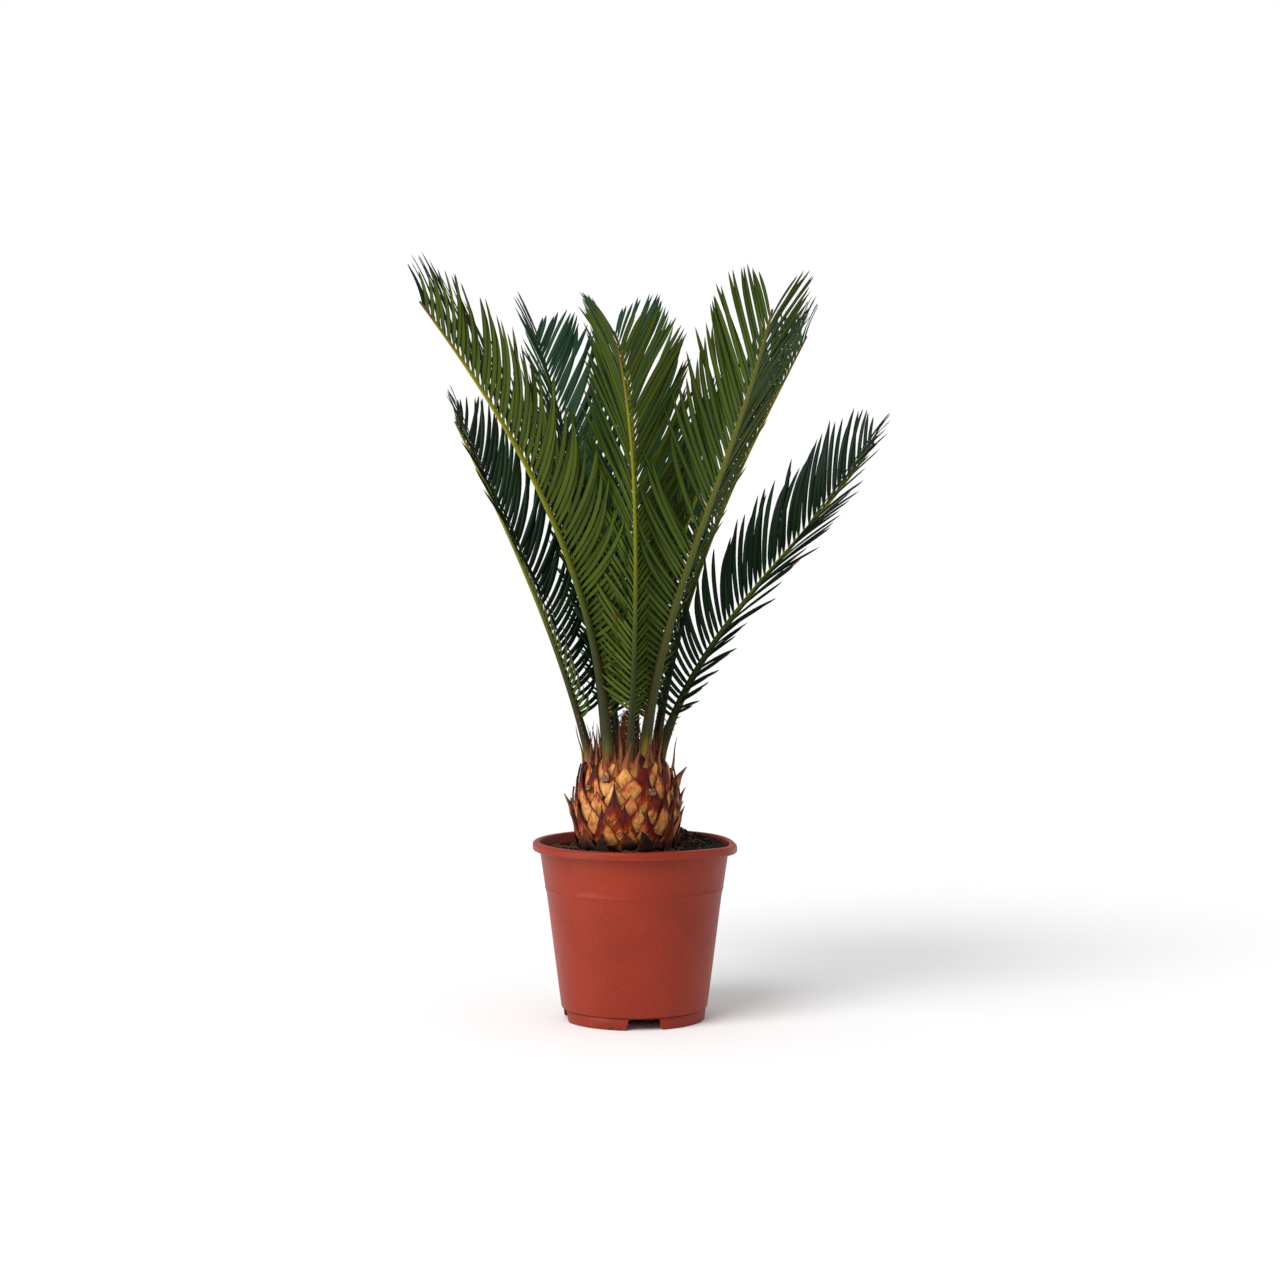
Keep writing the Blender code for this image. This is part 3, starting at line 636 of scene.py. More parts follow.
# Colour and roughness of one side of a leaflet, from its deep to its pale tone
LEAF_TONES = {
    "green": (((10, 28, 12), 0.42), ((14, 35, 15), 0.44), ((22, 45, 18), 0.46)),
    # Upper sides of the back fronds, paler and bluer as a painted sheen
    "blue": (((24, 52, 32), 0.46), ((32, 64, 40), 0.48), ((42, 76, 46), 0.5)),
    # Undersides of the front fronds, made lighter than the others as painted light
    "light": (((50, 63, 8), 0.6), ((60, 74, 10), 0.6), ((70, 85, 14), 0.6)),
    "under": (((36, 51, 5), 0.6), ((47, 63, 7), 0.6), ((58, 74, 10), 0.6)),
}
# The upper side and the underside for each tone of frond
FROND_SIDES = {"green": ("green", "under"), "light": ("green", "light"), "blue": ("blue", "under")}


def leaf_finishes():
    """The materials of the leaflets, for each tone of frond."""
    sides = {}
    for side, tones in LEAF_TONES.items():
        sides[side] = [leaf_skin(f"leaf_{side}_{depth}", colour, roughness, 0.12)
                       for depth, (colour, roughness) in zip(("deep", "mid", "pale"), tones)]
    # The dark margin tone is painted shade on the rolled edges; the pale midline tone is the midrib's own
    # paler colour with a painted highlight.
    shared = [leaf_skin("leaf_edge_painted_shade", (20, 30, 5), 0.6, 0.1),
              leaf_skin("leaf_midrib_and_highlight", (66, 82, 14), 0.6, 0.12),
              leaf_skin("leaf_foot", (92, 90, 18), 0.6, 0.12),
              leaf_skin("leaf_dry_tip", (104, 56, 34), 0.65, 0.2)]
    return {tone: sides[upper] + sides[under] + shared for tone, (upper, under) in FROND_SIDES.items()}


# ---- Pot ----


def body_radius(z):
    return BODY_FOOT_RADIUS + BODY_TAPER * (z - FOOT_HEIGHT)


def collar_radius(z):
    return body_radius(STEP_Z) + STEP_OUT + COLLAR_TAPER * (z - STEP_Z - STEP_RISE)


def arc(centre_r, centre_z, radius, start, end, steps):
    """Points of an arc from start to end degrees, as (radius, height)."""
    angles = [radians(start + (end - start) * i / steps) for i in range(steps + 1)]
    return [(centre_r + radius * cos(angle), centre_z + radius * sin(angle)) for angle in angles]


def wall_line(radius_at, low, high, steps, inset=0.0):
    heights = [low + (high - low) * i / steps for i in range(steps + 1)]
    return [(radius_at(z) - inset, z) for z in heights]


def hollow_radius(z):
    """The wall's radius where it curves out to the edge of the step."""
    return body_radius(z) + STEP_OUT * (1 - (STEP_Z - z) / STEP_HOLLOW) ** 2


def pot_profile():
    """(radius, height) points from the middle of the underside, up the outside and down the inside."""
    rim_foot = POT_HEIGHT - RIM_TALL
    groove = FOOT_HEIGHT - GROOVE_TALL
    inner, outer = FOOT_RADIUS - WALL, FOOT_RADIUS + 0.5 * MM
    bottom = [(1.0 * MM, 0.0), (PAD_RADIUS, 0.0), (DISH_RADIUS, FOOT_HEIGHT - 0.4 * MM),
              (inner, FOOT_HEIGHT)]
    ring = [(inner, EASE), (inner + EASE, 0.0), (FOOT_RADIUS - EASE, 0.0), (FOOT_RADIUS, EASE),
            (outer + EASE, groove - 0.5 * MM), (outer, groove), (outer - GROOVE_DEEP, groove),
            (outer - GROOVE_DEEP, FOOT_HEIGHT)]
    shoulder = arc(BODY_FOOT_RADIUS - 0.6 * MM, FOOT_HEIGHT + EDGE_ROUND, EDGE_ROUND, 270, 360, 5)
    body = wall_line(body_radius, FOOT_HEIGHT + 2 * MM, STEP_Z - STEP_HOLLOW, 16)
    body += wall_line(hollow_radius, STEP_Z - STEP_HOLLOW, STEP_Z, 6)[1:]
    collar = wall_line(collar_radius, STEP_Z + 0.4 * MM, rim_foot - 0.2 * MM, 7)
    rim = arc(RIM_RADIUS - EDGE_ROUND, rim_foot + EDGE_ROUND, EDGE_ROUND, -90, 0, 5)
    rim += arc(RIM_RADIUS - RIM_ROUND, POT_HEIGHT - RIM_ROUND, RIM_ROUND, 0, 90, 7)
    rim += arc(RIM_INNER_RADIUS + LIP_ROUND, POT_HEIGHT - LIP_ROUND, LIP_ROUND, 90, 180, 5)
    inside = wall_line(collar_radius, rim_foot, STEP_Z + STEP_RISE, 4, WALL)
    inside += wall_line(body_radius, STEP_Z, FLOOR_TOP, 6, WALL)
    floor = [(DISH_RADIUS, FLOOR_TOP), (PAD_RADIUS, FLOOR_THICKNESS), (1.0 * MM, FLOOR_THICKNESS)]
    return bottom + ring + shoulder + body + collar + rim + inside + floor


def pot_point(radius, z, azimuth):
    """A point of the profile, moved by the pot's slight warp and by the ragged edge under its rim."""
    out = around(azimuth)
    radius += WARP * clamp((z - STEP_Z) / (POT_HEIGHT - STEP_Z)) * cos(radians(2 * azimuth + 20))
    radius += WAVER * wave((*out.xy, z / POT_HEIGHT), 0.45)
    if z > POT_HEIGHT - RIM_TALL - EDGE_ROUND:
        tall = (z - POT_HEIGHT + RIM_TALL) / RIM_TALL
        sag = exp(-((azimuth - RIM_SAG_AZIMUTH) / RIM_SAG_WIDE) ** 2)
        flash = exp(-((azimuth - FLASH_AZIMUTH) / FLASH_WIDE) ** 2)
        flash *= max(0.0, 1 - abs(tall - 0.35) / 0.6)
        z -= RIM_SAG * sag
        radius += 0.6 * MM * sag * (1 - tall) + FLASH_OUT * flash
        if tall < 0.12 and radius > RIM_RADIUS - 4 * MM:
            z -= RAGGED * max(0.0, wave((*out.xy, 0.0), 0.035, 3.0) + 0.2)
    return out * radius + UP * z


def solid(name, rings):
    """A closed mesh through the rings, with its faces turned out."""
    shape = Shape()
    tube(shape, rings)
    mesh = make_mesh(name, shape.points, shape.faces)
    work = bmesh.new()
    work.from_mesh(mesh)
    bmesh.ops.recalc_face_normals(work, faces=work.faces)
    work.to_mesh(mesh)
    work.free()
    return mesh


def notch(azimuth):
    """What a foot notch takes away: round upper corners, between feet with round lower corners."""
    half = NOTCH_WIDTH / 2
    outline = [(half + FOOT_ROUND, -2 * MM)]
    outline += arc(half + FOOT_ROUND, FOOT_ROUND, FOOT_ROUND, 270, 180, 8)
    outline += arc(half - NOTCH_ROUND, NOTCH_HEIGHT - NOTCH_ROUND, NOTCH_ROUND, 0, 90, 4)
    outline += [(-along, height) for along, height in reversed(outline)]
    out, beside = around(azimuth), around(azimuth + 90)
    return solid("notch", [[out * radius + beside * along + UP * height for along, height in outline]
                           for radius in (FOOT_RADIUS - 6 * MM, FOOT_RADIUS + 8 * MM)])


def drain(azimuth):
    middle = around(azimuth, DRAIN_RING, FOOT_HEIGHT)
    return solid("drain", [[middle + around(turn, DRAIN_RADIUS, z) for turn in turns(DRAIN_SIDES)]
                           for z in (-4 * MM, 6 * MM)])


def cut_away(obj, meshes):
    """Takes the meshes out of the object, and applies it."""
    holder = bpy.data.collections.new("cutters")
    bpy.context.scene.collection.children.link(holder)
    for mesh in meshes:
        holder.objects.link(bpy.data.objects.new(mesh.name, mesh))
    cut = obj.modifiers.new("cut", "BOOLEAN")
    cut.operation = "DIFFERENCE"
    cut.operand_type = "COLLECTION"
    cut.collection = holder
    cut.solver = "EXACT"
    bpy.context.view_layer.update()
    graph = bpy.context.evaluated_depsgraph_get()
    mesh = bpy.data.meshes.new_from_object(obj.evaluated_get(graph))
    obj.modifiers.clear()
    obj.data = mesh
    for cutter in list(holder.objects):
        bpy.data.objects.remove(cutter, do_unlink=True)
    bpy.data.collections.remove(holder)


def build_pot():
    azimuths = [-180 + 360 * i / POT_SEGMENTS for i in range(POT_SEGMENTS)]
    rings = [[pot_point(radius, z, azimuth) for azimuth in azimuths] for radius, z in pot_profile()]
    pot = put("pot_shell", solid("pot_shell", rings))
    cutters = [notch(NOTCH_AZIMUTH + 360 * i / NOTCH_COUNT) for i in range(NOTCH_COUNT)]
    cutters += [drain(NOTCH_AZIMUTH + 360 * (i + 0.5) / DRAIN_COUNT) for i in range(DRAIN_COUNT)]
    cut_away(pot, cutters)
    pot.data.materials.append(pot_plastic())
    pot.data.shade_smooth()
    pot.data.set_sharp_from_angle(angle=radians(40))
    settle(pot, ["pot"])


# ---- Soil ----


def soil_height(x, y):
    """The soil's surface: lumpy, lower at the pot's wall, higher at one side, and a clump there."""
    radius = hypot(x, y)
    edge = collar_radius(SOIL_Z) - WALL
    direction = around(SOIL_RAISE_AZIMUTH)
    toward = max(0.0, (x * direction.x + y * direction.y) / max(radius, MM))
    near_wall = max(0.0, (radius - 0.8 * edge) / (0.2 * edge))
    heap = SOIL_RAISE * toward ** 3 * clamp((hypot(x - TRUNK_X, y) - TRUNK_REACH) / (18 * MM))
    clump = hypot(x - SOIL_CLUMP[0], y - SOIL_CLUMP[1]) / SOIL_CLUMP_WIDE
    heap += SOIL_CLUMP_TALL * exp(-clump * clump)
    lumps = sum(tall * MM * wave((x, y, 0), pitch * MM, seed) for tall, pitch, seed in SOIL_LUMPS)
    return SOIL_Z - SOIL_SUNK + heap - SOIL_EDGE_SUNK * near_wall ** 2 + lumps


def build_soil():
    edge = collar_radius(SOIL_Z) - WALL - SOIL_GAP
    points = [Vector((0.0, 0.0, soil_height(0.0, 0.0)))]
    for i in range(1, SOIL_RINGS + 1):
        for turn in turns(SOIL_SEGMENTS):
            flat = around(turn, edge * i / SOIL_RINGS)
            points.append(flat + UP * soil_height(flat.x, flat.y))
    inset = WALL + SOIL_GAP
    sides = ((collar_radius(STEP_Z + STEP_RISE) - inset, STEP_Z + STEP_RISE),
             (body_radius(STEP_Z) - inset, STEP_Z),
             (body_radius(FLOOR_TOP) - inset, FLOOR_TOP + SOIL_GAP),
             (DISH_RADIUS, FLOOR_TOP + SOIL_GAP))
    for radius, z in sides:
        points += [around(turn, radius, z) for turn in turns(SOIL_SEGMENTS)]
    faces = [(0, 1 + j, 1 + (j + 1) % SOIL_SEGMENTS) for j in range(SOIL_SEGMENTS)]
    faces += [(a, d, c, b) for a, b, c, d in strip(SOIL_RINGS + len(sides), SOIL_SEGMENTS, 1)]
    faces.append(list(range(len(points) - SOIL_SEGMENTS, len(points)))[::-1])
    soil = Shape()
    soil.add(points, faces)
    soil.piece("soil_surface", [soil_mix()], "potting_soil", ["soil"])


def free_soil_spot(rng):
    """A random place on the soil between the trunk and the pot's wall."""
    while True:
        x = rng.uniform(-1, 1) * SOIL_REACH
        y = rng.uniform(-1, 1) * SOIL_REACH
        if hypot(x, y) < SOIL_REACH and hypot(x - TRUNK_X, y) > TRUNK_REACH:
            return x, y


PEAT = linear(8, 6, 5)
PEAT_PALE = linear(33, 23, 18)
BARK = linear(78, 52, 34)


def build_crumbs():
    """Lumps of peat and a few brown bits of bark on the soil."""
    rng = random.Random(11)
    work = bmesh.new()
    bmesh.ops.create_icosphere(work, subdivisions=1, radius=1.0)
    ball = [vert.co.copy() for vert in work.verts]
    faces = [[vert.index for vert in face.verts] for face in work.faces]
    work.free()
    crumbs = Shape()
    for _ in range(CRUMB_COUNT):
        x, y = free_soil_spot(rng)
        size = CRUMB_LEAST + CRUMB_SPREAD * rng.random() ** 3
        angle = rng.uniform(0, 2 * pi)
        turn = Matrix.Rotation(angle, 3, Vector((rng.random(), rng.random(), rng.random())))
        stretch = (rng.uniform(0.7, 1.5), rng.uniform(0.7, 1.2), rng.uniform(0.5, 0.9))
        middle = Vector((x, y, soil_height(x, y) + 0.3 * size))
        points = []
        for corner in ball:
            far = size * rng.uniform(0.7, 1.15)
            points.append(middle + turn @ Vector([c * s * far for c, s in zip(corner, stretch)]))
        pale = rng.random()
        crumbs.add(points, faces, 0, BARK if pale > 1 - BARK_SHARE else mix(PEAT, PEAT_PALE, pale))
    crumbs.piece("soil_crumbs", [crumb_mix()], "potting_soil")


def lying_fibre(rng):
    """The path of a root that lies on the soil, nearer the trunk than the wall as a rule."""
    x, y = free_soil_spot(rng)
    if hypot(x - TRUNK_X, y) > rng.uniform(38, 78) * MM:
        return []
    heading = rng.uniform(0, 2 * pi)
    bend = rng.uniform(-0.5, 0.5)
    step = rng.choice(FIBRE_LENGTHS) * MM / FIBRE_STEPS
    path = []
    for i in range(FIBRE_STEPS + 1):
        arch = FIBRE_ARCH * sin(pi * i / FIBRE_STEPS) * rng.uniform(0.8, 1.2)
        path.append(Vector((x, y, soil_height(x, y) + 0.2 * MM + arch)))
        x += step * cos(heading)
        y += step * sin(heading)
        heading += bend / 2 + rng.uniform(-0.15, 0.15)
        if hypot(x, y) > SOIL_REACH + MM:
            break
    return path


def stray_fibre(rng, at_clump):
    """The path of a fibre that stands up at the trunk's foot or on the clump, and falls over."""
    azimuth = rng.uniform(0, 360)
    if at_clump:
        foot = Vector((*SOIL_CLUMP, SOIL_Z + 8 * MM)) + around(azimuth, rng.uniform(0, 8) * MM)
    else:
        foot = off_trunk(around(azimuth), 42 * MM, SOIL_Z)
    heading = azimuth + rng.uniform(-100, 100)
    length = rng.uniform(5, 16) * MM
    path = [foot]
    for i in range(1, STRAY_STEPS + 1):
        rise = radians(55 - 14 * i + rng.uniform(-15, 15))
        path.append(path[-1] + around(heading, cos(rise), sin(rise)) * length / STRAY_STEPS)
        heading += rng.uniform(-20, 20)
    return [point for point in path if hypot(point.x, point.y) < SOIL_REACH + MM]


def build_fibres():
    rng = random.Random(23)
    fibres = Shape()
    for i in range(FIBRE_COUNT + STRAY_COUNT):
        lying = i < FIBRE_COUNT
        path = lying_fibre(rng) if lying else stray_fibre(rng, (i - FIBRE_COUNT) % 6 == 0)
        if len(path) > (4 if lying else 3):
            thick = rng.uniform(0.35, 0.8 if lying else 0.6) * MM
            blade(fibres, path, UP, [thick] * len(path), thick)
    fibres.piece("soil_fibres", [fibre_skin()], "potting_soil")


# ---- Trunk ----


FLESH = linear(226, 174, 100)
FLESH_DEEP = linear(186, 98, 36)
FLAME = linear(160, 56, 16)
EMBER = linear(98, 20, 8)
MARGIN = linear(86, 28, 12)
RUSSET = linear(112, 42, 20)
DRIED = linear(52, 20, 11)
DUSTY = linear(122, 76, 44)
NEAR_BLACK = linear(20, 11, 8)
BRACT_TINTS = ((0.0, linear(190, 122, 60)), (0.25, linear(158, 90, 44)), (0.6, linear(120, 64, 34)),
               (1.0, linear(70, 40, 26)))
HORN_TINTS = ((0.0, linear(206, 142, 80)), (0.35, linear(176, 98, 50)), (0.7, linear(110, 60, 36)),
              (1.0, linear(150, 126, 98)))


def barrel_radius(share):
    """The trunk's radius without its leaf bases. Above its top it closes in like a dome."""
    if share > 1.0:
        return CROWN_RADIUS - DOME_SLOPE * (share - 1.0) * TRUNK_TALL
    return between(BARREL, max(0.0, share)) * MM


def trunk_z(share):
    return TRUNK_FOOT_Z + share * TRUNK_TALL


def trunk_radius(z):
    return barrel_radius((z - TRUNK_FOOT_Z) / TRUNK_TALL)


def shield(shape, fronts, backs, across, tints):
    """A closed, curved plate from two grids of points, each row of them across points long."""
    count = len(fronts)
    rows = count // across
    faces = []
    for row in range(rows - 1):
        for column in range(across - 1):
            a = row * across + column
            b, c, d = a + 1, a + across + 1, a + across
            faces.append((a, b, c, d))
            faces.append((count + d, count + c, count + b, count + a))
    border = list(range(across - 1))
    border += [row * across + across - 1 for row in range(rows - 1)]
    border += [(rows - 1) * across + column for column in range(across - 1, 0, -1)]
    border += [row * across for row in range(rows - 1, 0, -1)]
    for a, b in zip(border, border[1:] + border[:1]):
        faces.append((a, count + a, count + b, b))
    dark = [mix(tint, MARGIN, 0.6) for tint in tints]
    shape.add(fronts + backs, faces, 0, tints + dark)


@dataclass
class Mood:
    """What makes one leaf base differ from the next."""

    warm: float  # how deep its flesh is
    flame: float  # how far up its red streak begins, as a share of its height
    side: float  # which way the streak leans
    skew: float
    wide: float
    seed: float
    tip: float  # how far its dried point runs on above its upper corner, as a share of its height


def base_outline(v, tip):
    """A leaf base's half width, as a share, from its hidden foot at 0 to its point at 1 + tip."""
    if v < BASE_WIDEST:
        return 0.5 + 0.5 * sin(v / BASE_WIDEST * pi / 2)
    left = max(0.0, 1 - (v - BASE_WIDEST) / (1 - BASE_WIDEST + tip))
    return max(0.02, left ** (0.95 + 1.1 * tip))


def base_tint(u, v, mood):
    """Pale flesh, a red streak that comes down from the upper corner, and a thin dark edge."""
    blotch = wave((u * 1.3, v * 2.2, mood.seed), 0.4)
    fine = wave((u * 4, v * 2, mood.seed), 0.25)
    flesh = mix(FLESH, FLESH_DEEP, mood.warm * (0.2 + 0.5 * v) + 0.7 * u ** 4 + 0.45 * blotch)
    down = v + 0.4 * mood.side * u + 0.3 * blotch + 0.2 * fine
    flesh = mix(flesh, FLAME, (down - mood.flame) / 0.16)
    flesh = mix(flesh, EMBER, (down - mood.flame - 0.22) / 0.2)
    flesh = mix(flesh, DRIED, (v - 0.95 + 0.3 * blotch) / 0.25)
    flesh = mix(flesh, NEAR_BLACK, (v - 1.25 + 0.3 * blotch) / 0.4)
    if abs(u) > 0.9 and v > 0.25:
        return mix(MARGIN, flesh, (0.45 if abs(u) < 0.97 else 0.1) + 0.5 * fine)
    return flesh


def leaf_base(trunk, azimuth, share, size, mood):
    """One leaf base, as a closed shield pressed against the trunk."""
    width, height = BASE_WIDTH * size * mood.wide, BASE_HEIGHT * size
    fronts, backs, tints = [], [], []
    for row in range(BASE_ROWS + 1):
        v = row / BASE_ROWS * (1 + mood.tip)
        low = min(v, 1.0)
        rise = low * low * (3 - 2 * low) + POINT_LIFT * max(0.0, v - 0.8)
        half = width / 2 * base_outline(v, mood.tip)
        z = trunk_z(share) + (v - 0.45) * height
        radius = trunk_radius(z)
        for u in BASE_COLUMNS:
            ragged = 1 + 0.05 * wave((v * 4, mood.seed, u), 0.4)
            along = u * half * ragged + mood.skew * width * low * low
            along += mood.side * 0.12 * width * max(0.0, v - 1) * wave((v, mood.seed, 0.0), 0.9)
            out = around(azimuth + degrees(along / radius))
            far = radius - BASE_SUNK + (BASE_SUNK + BASE_LIFT) * rise * size
            far += 0.9 * MM * (1 - u * u) * sin(pi * low) + 0.5 * MM * max(0.0, 1 - 4 * abs(u)) * low
            far += 0.4 * MM * wave((u * 2 + mood.seed, v * 2, mood.seed), 0.45)
            fronts.append(off_trunk(out, far, z))
            thick = (0.9 + 1.6 * (1 - low)) * MM * size
            backs.append(off_trunk(out, far - thick, z) - UP * 0.4 * MM)
            tints.append(base_tint(u, v, mood))
    shield(trunk, fronts, backs, len(BASE_COLUMNS), tints)


def flap(shape, azimuth, share, width, length, curl, lean, tints, seed):
    """A dried, papery triangle pressed against the trunk, point up. The tints run from foot to point."""
    fronts, backs, colours = [], [], []
    for row in range(FLAP_ROWS + 1):
        v = row / FLAP_ROWS
        torn = 1 + 0.3 * wave((v * 5, seed, 0.0), 0.6)
        half = max(0.15 * MM, width / 2 * between(FLAP_OUTLINE, v) * torn)
        z = max(trunk_z(share) + v * length, TRUNK_FOOT_Z - MM)
        radius = trunk_radius(z)
        for u in FLAP_COLUMNS:
            along = u * half + lean * length * v * v
            out = around(azimuth + degrees(along / radius))
            far = radius + FLAP_LIFT + curl * v * v + 0.7 * MM * wave((u + seed, v * 3, seed), 0.7)
            far += 0.9 * MM * (1 - abs(u)) * (1 - v) - 2.5 * MM * max(0.0, 1 - 5 * v)
            fronts.append(off_trunk(out, far, z))
            backs.append(off_trunk(out, far - 0.5 * MM, z))
            worn = 0.5 * wave((u * 2, v * 3, seed), 0.5)
            colours.append(mix(between(tints, v), DUSTY if worn > 0 else NEAR_BLACK, 0.7 * abs(worn)))
    shield(shape, fronts, backs, len(FLAP_COLUMNS), colours)


def bract(bracts, foot, out, length, width, lean, bend, seed, deep=1 * MM, tints=BRACT_TINTS,
          outline=BRACT_OUTLINE):
    """A long dried bract: a tapering, folded blade that leans out and bends sideways."""
    beside = UP.cross(out)
    point = foot - UP * BRACT_SUNK
    path, widths, shades = [], [], []
    for i in range(BRACT_POINTS):
        reach = i / (BRACT_POINTS - 1)
        path.append(point.copy())
        widths.append(width * between(outline, reach))
        worn = wave((*point.xy, point.z * 0.3), 2.5 * MM, 2.0)
        shades.append(mix(between(tints, reach), DUSTY if worn > 0 else DRIED, 0.6 * abs(worn)))
        tilt = radians(lean * (0.3 + 0.7 * reach) + 14 * wave((reach * 2, seed, 0.0), 0.8))
        sway = radians(bend * reach + 16 * wave((reach * 2, 0.0, seed), 0.8))
        ahead = UP * cos(tilt) + out * sin(tilt) + beside * sin(sway)
        point = point + ahead.normalized() * (length + BRACT_SUNK) / (BRACT_POINTS - 1)
    depths = [max(min(1 * MM, across), deep * across / width) for across in widths]
    blade(bracts, path, out, widths, depths, 0, shades)


def build_core(trunk):
    """The barrel behind the leaf bases, closed by a flat dome."""
    shares = [i / CORE_RINGS for i in range(CORE_RINGS + 1)]
    rings = [(barrel_radius(share) - 1.2 * MM, trunk_z(share)) for share in shares]
    rings.append((CROWN_RADIUS * 0.6, CROWN_Z + 5 * MM))
    tube(trunk, [[off_trunk(around(turn), radius, z) for turn in turns(CORE_SIDES)]
                 for radius, z in rings], 0, DRIED)


def build_leaf_bases(trunk, rng):
    """The spiral of leaf bases. A third of them are red, and the lower ones end in dried points."""
    for i in range(BASE_COUNT):
        share = 0.06 + 0.99 * (i + 0.5) / BASE_COUNT
        size = between(BASE_SIZES, share)
        azimuth = GOLDEN_ANGLE * i + rng.uniform(-4, 4)
        share += rng.uniform(-0.02, 0.02)
        red = rng.random()
        flame = 0.25 + 0.4 * rng.random() if red < RED_SHARE else 0.7 + 0.3 * rng.random()
        pointed = share < POINTED_TO and red < POINTED_SHARE
        tip = rng.uniform(0.3, 0.95) if pointed else rng.uniform(0.0, 0.12)
        mood = Mood(rng.random(), flame, rng.choice((-1, 1, 0)), rng.uniform(-0.12, 0.12),
                    rng.uniform(0.9, 1.12), i * 0.73, tip)
        leaf_base(trunk, azimuth, share, size, mood)


def darken_the_foot(trunk):
    """Darkens the trunk toward the soil, and cuts it off level under it."""
    for i, point in enumerate(trunk.points):
        darkening = max(0.0, 1 - (point.z - TRUNK_FOOT_Z) / DARK_FOOT_TALL) + 0.35 * wave(point, 7 * MM, 4.0)
        trunk.colours[i] = mix(trunk.colours[i], NEAR_BLACK, (darkening - 0.25) * 1.2)
        point.z = max(point.z, TRUNK_FOOT_Z)


def build_flaps(papers, rng):
    """Dark, papery remains of the oldest leaf bases, along the soil."""
    for i in range(FLAP_COUNT):
        tints = ((0.0, NEAR_BLACK), (0.3, DRIED), (0.7, RUSSET if i % 3 else NEAR_BLACK), (1.0, DRIED))
        flap(papers, GOLDEN_ANGLE * i + 31, rng.uniform(-0.06, 0.04), rng.uniform(9, 20) * MM,
             rng.uniform(12, 24) * MM, rng.uniform(0, 4) * MM, rng.uniform(-0.4, 0.4), tints,
             i * 2.7 + 9)


def build_bracts(papers, rng):
    """Dried leaf bases that stand off the trunk, and long bracts round and inside the crown's edge."""
    for azimuth, share, length, width, lean in HORNS:
        out = around(azimuth)
        foot = off_trunk(out, barrel_radius(share) + MM, trunk_z(share))
        bract(papers, foot, out, length * MM, width * MM, lean, 6.0, azimuth, 0.7 * width * MM,
              HORN_TINTS, HORN_OUTLINE)
    for azimuth, length, width, lean, bend in CROWN_BRACTS:
        out = around(azimuth)
        foot = off_trunk(out, CROWN_RADIUS + 3.5 * MM, CROWN_Z - 5 * MM)
        bract(papers, foot, out, length * MM, width * MM, lean, bend, azimuth, 2 * MM)
    for i in range(EDGE_BRACTS):
        out = around(GOLDEN_ANGLE * i + 20)
        reach = CROWN_RADIUS + rng.uniform(-5, 1.5) * MM
        foot = off_trunk(out, reach, CROWN_Z - rng.uniform(1, 7) * MM)
        length = rng.choice((22, 28, 33, 38, 44)) * MM
        bract(papers, foot, out, length, rng.uniform(2.5, 7.5) * MM, rng.uniform(-4, 16),
              rng.uniform(-14, 14), i * 3.1)
    for i in range(INNER_BRACTS):
        out = around(GOLDEN_ANGLE * i + 65)
        foot = off_trunk(out, rng.uniform(12, 27) * MM, CROWN_Z + 2 * MM)
        bract(papers, foot, out, rng.uniform(10, 32) * MM, rng.uniform(2.5, 6) * MM,
              rng.uniform(-5, 12), rng.uniform(-20, 20), i * 4.7 + 100)


def build_trunk():
    rng = random.Random(5)
    trunk, papers = Shape(), Shape()
    build_core(trunk)
    build_leaf_bases(trunk, rng)
    build_flaps(papers, rng)
    build_bracts(papers, rng)
    darken_the_foot(trunk)
    trunk.piece("trunk_leaf_bases", [leaf_base_skin()], "trunk_scales", ["trunk"])
    build_stubs()
    papers.piece("dry_bracts", [dry_skin()], "trunk_scales")


def build_stubs():
    """Cut leaf stalks, nearly square, with grey, cracked ends."""
    stubs = Shape()
    for azimuth, share, rise, half in STUBS:
        out = around(azimuth)
        along = (out + rise * UP).normalized()
        beside = along.cross(UP).normalized()
        over = beside.cross(along)
        foot = off_trunk(out, barrel_radius(share), trunk_z(share))
        rings, tints = [], []
        for i in range(STUB_RINGS):
            reach = i / (STUB_RINGS - 1)
            grow = (1.3 - 0.3 * reach) * (0.92 if reach == 1 else 1.0)
            centre = foot + along * STUB_LENGTH * (reach - 0.35)
            ring = []
            for j in range(STUB_SIDES):
                x, y = cos(2 * pi * j / STUB_SIDES), sin(2 * pi * j / STUB_SIDES)
                far = half * MM * grow * (abs(x) ** 6 + abs(y) ** 6) ** (-1 / 6)
                far *= 1 + 0.08 * wave((x, y, azimuth), 0.5)
                ring.append(centre + (beside * x + over * 0.85 * y) * far)
            rings.append(ring)
            tints.append(mix(FLESH_DEEP, RUSSET, reach ** 2) if reach < 0.8 else mix(DRIED, DUSTY, 0.3))
        tube(stubs, rings, [0] * (STUB_RINGS - 1) + [1], tints)
    stubs.piece("cut_stubs", [leaf_base_skin(), cut_skin()], "trunk_scales", sharp=50)


def hair(shape, foot, out, length, lean, thick):
    tip = foot + (UP * cos(radians(lean)) + out * sin(radians(lean))) * length
    middle = foot.lerp(tip, 0.5) + out * 0.12 * length
    blade(shape, [foot, middle, tip], out, [thick, thick * 0.8, thick * 0.2], thick)


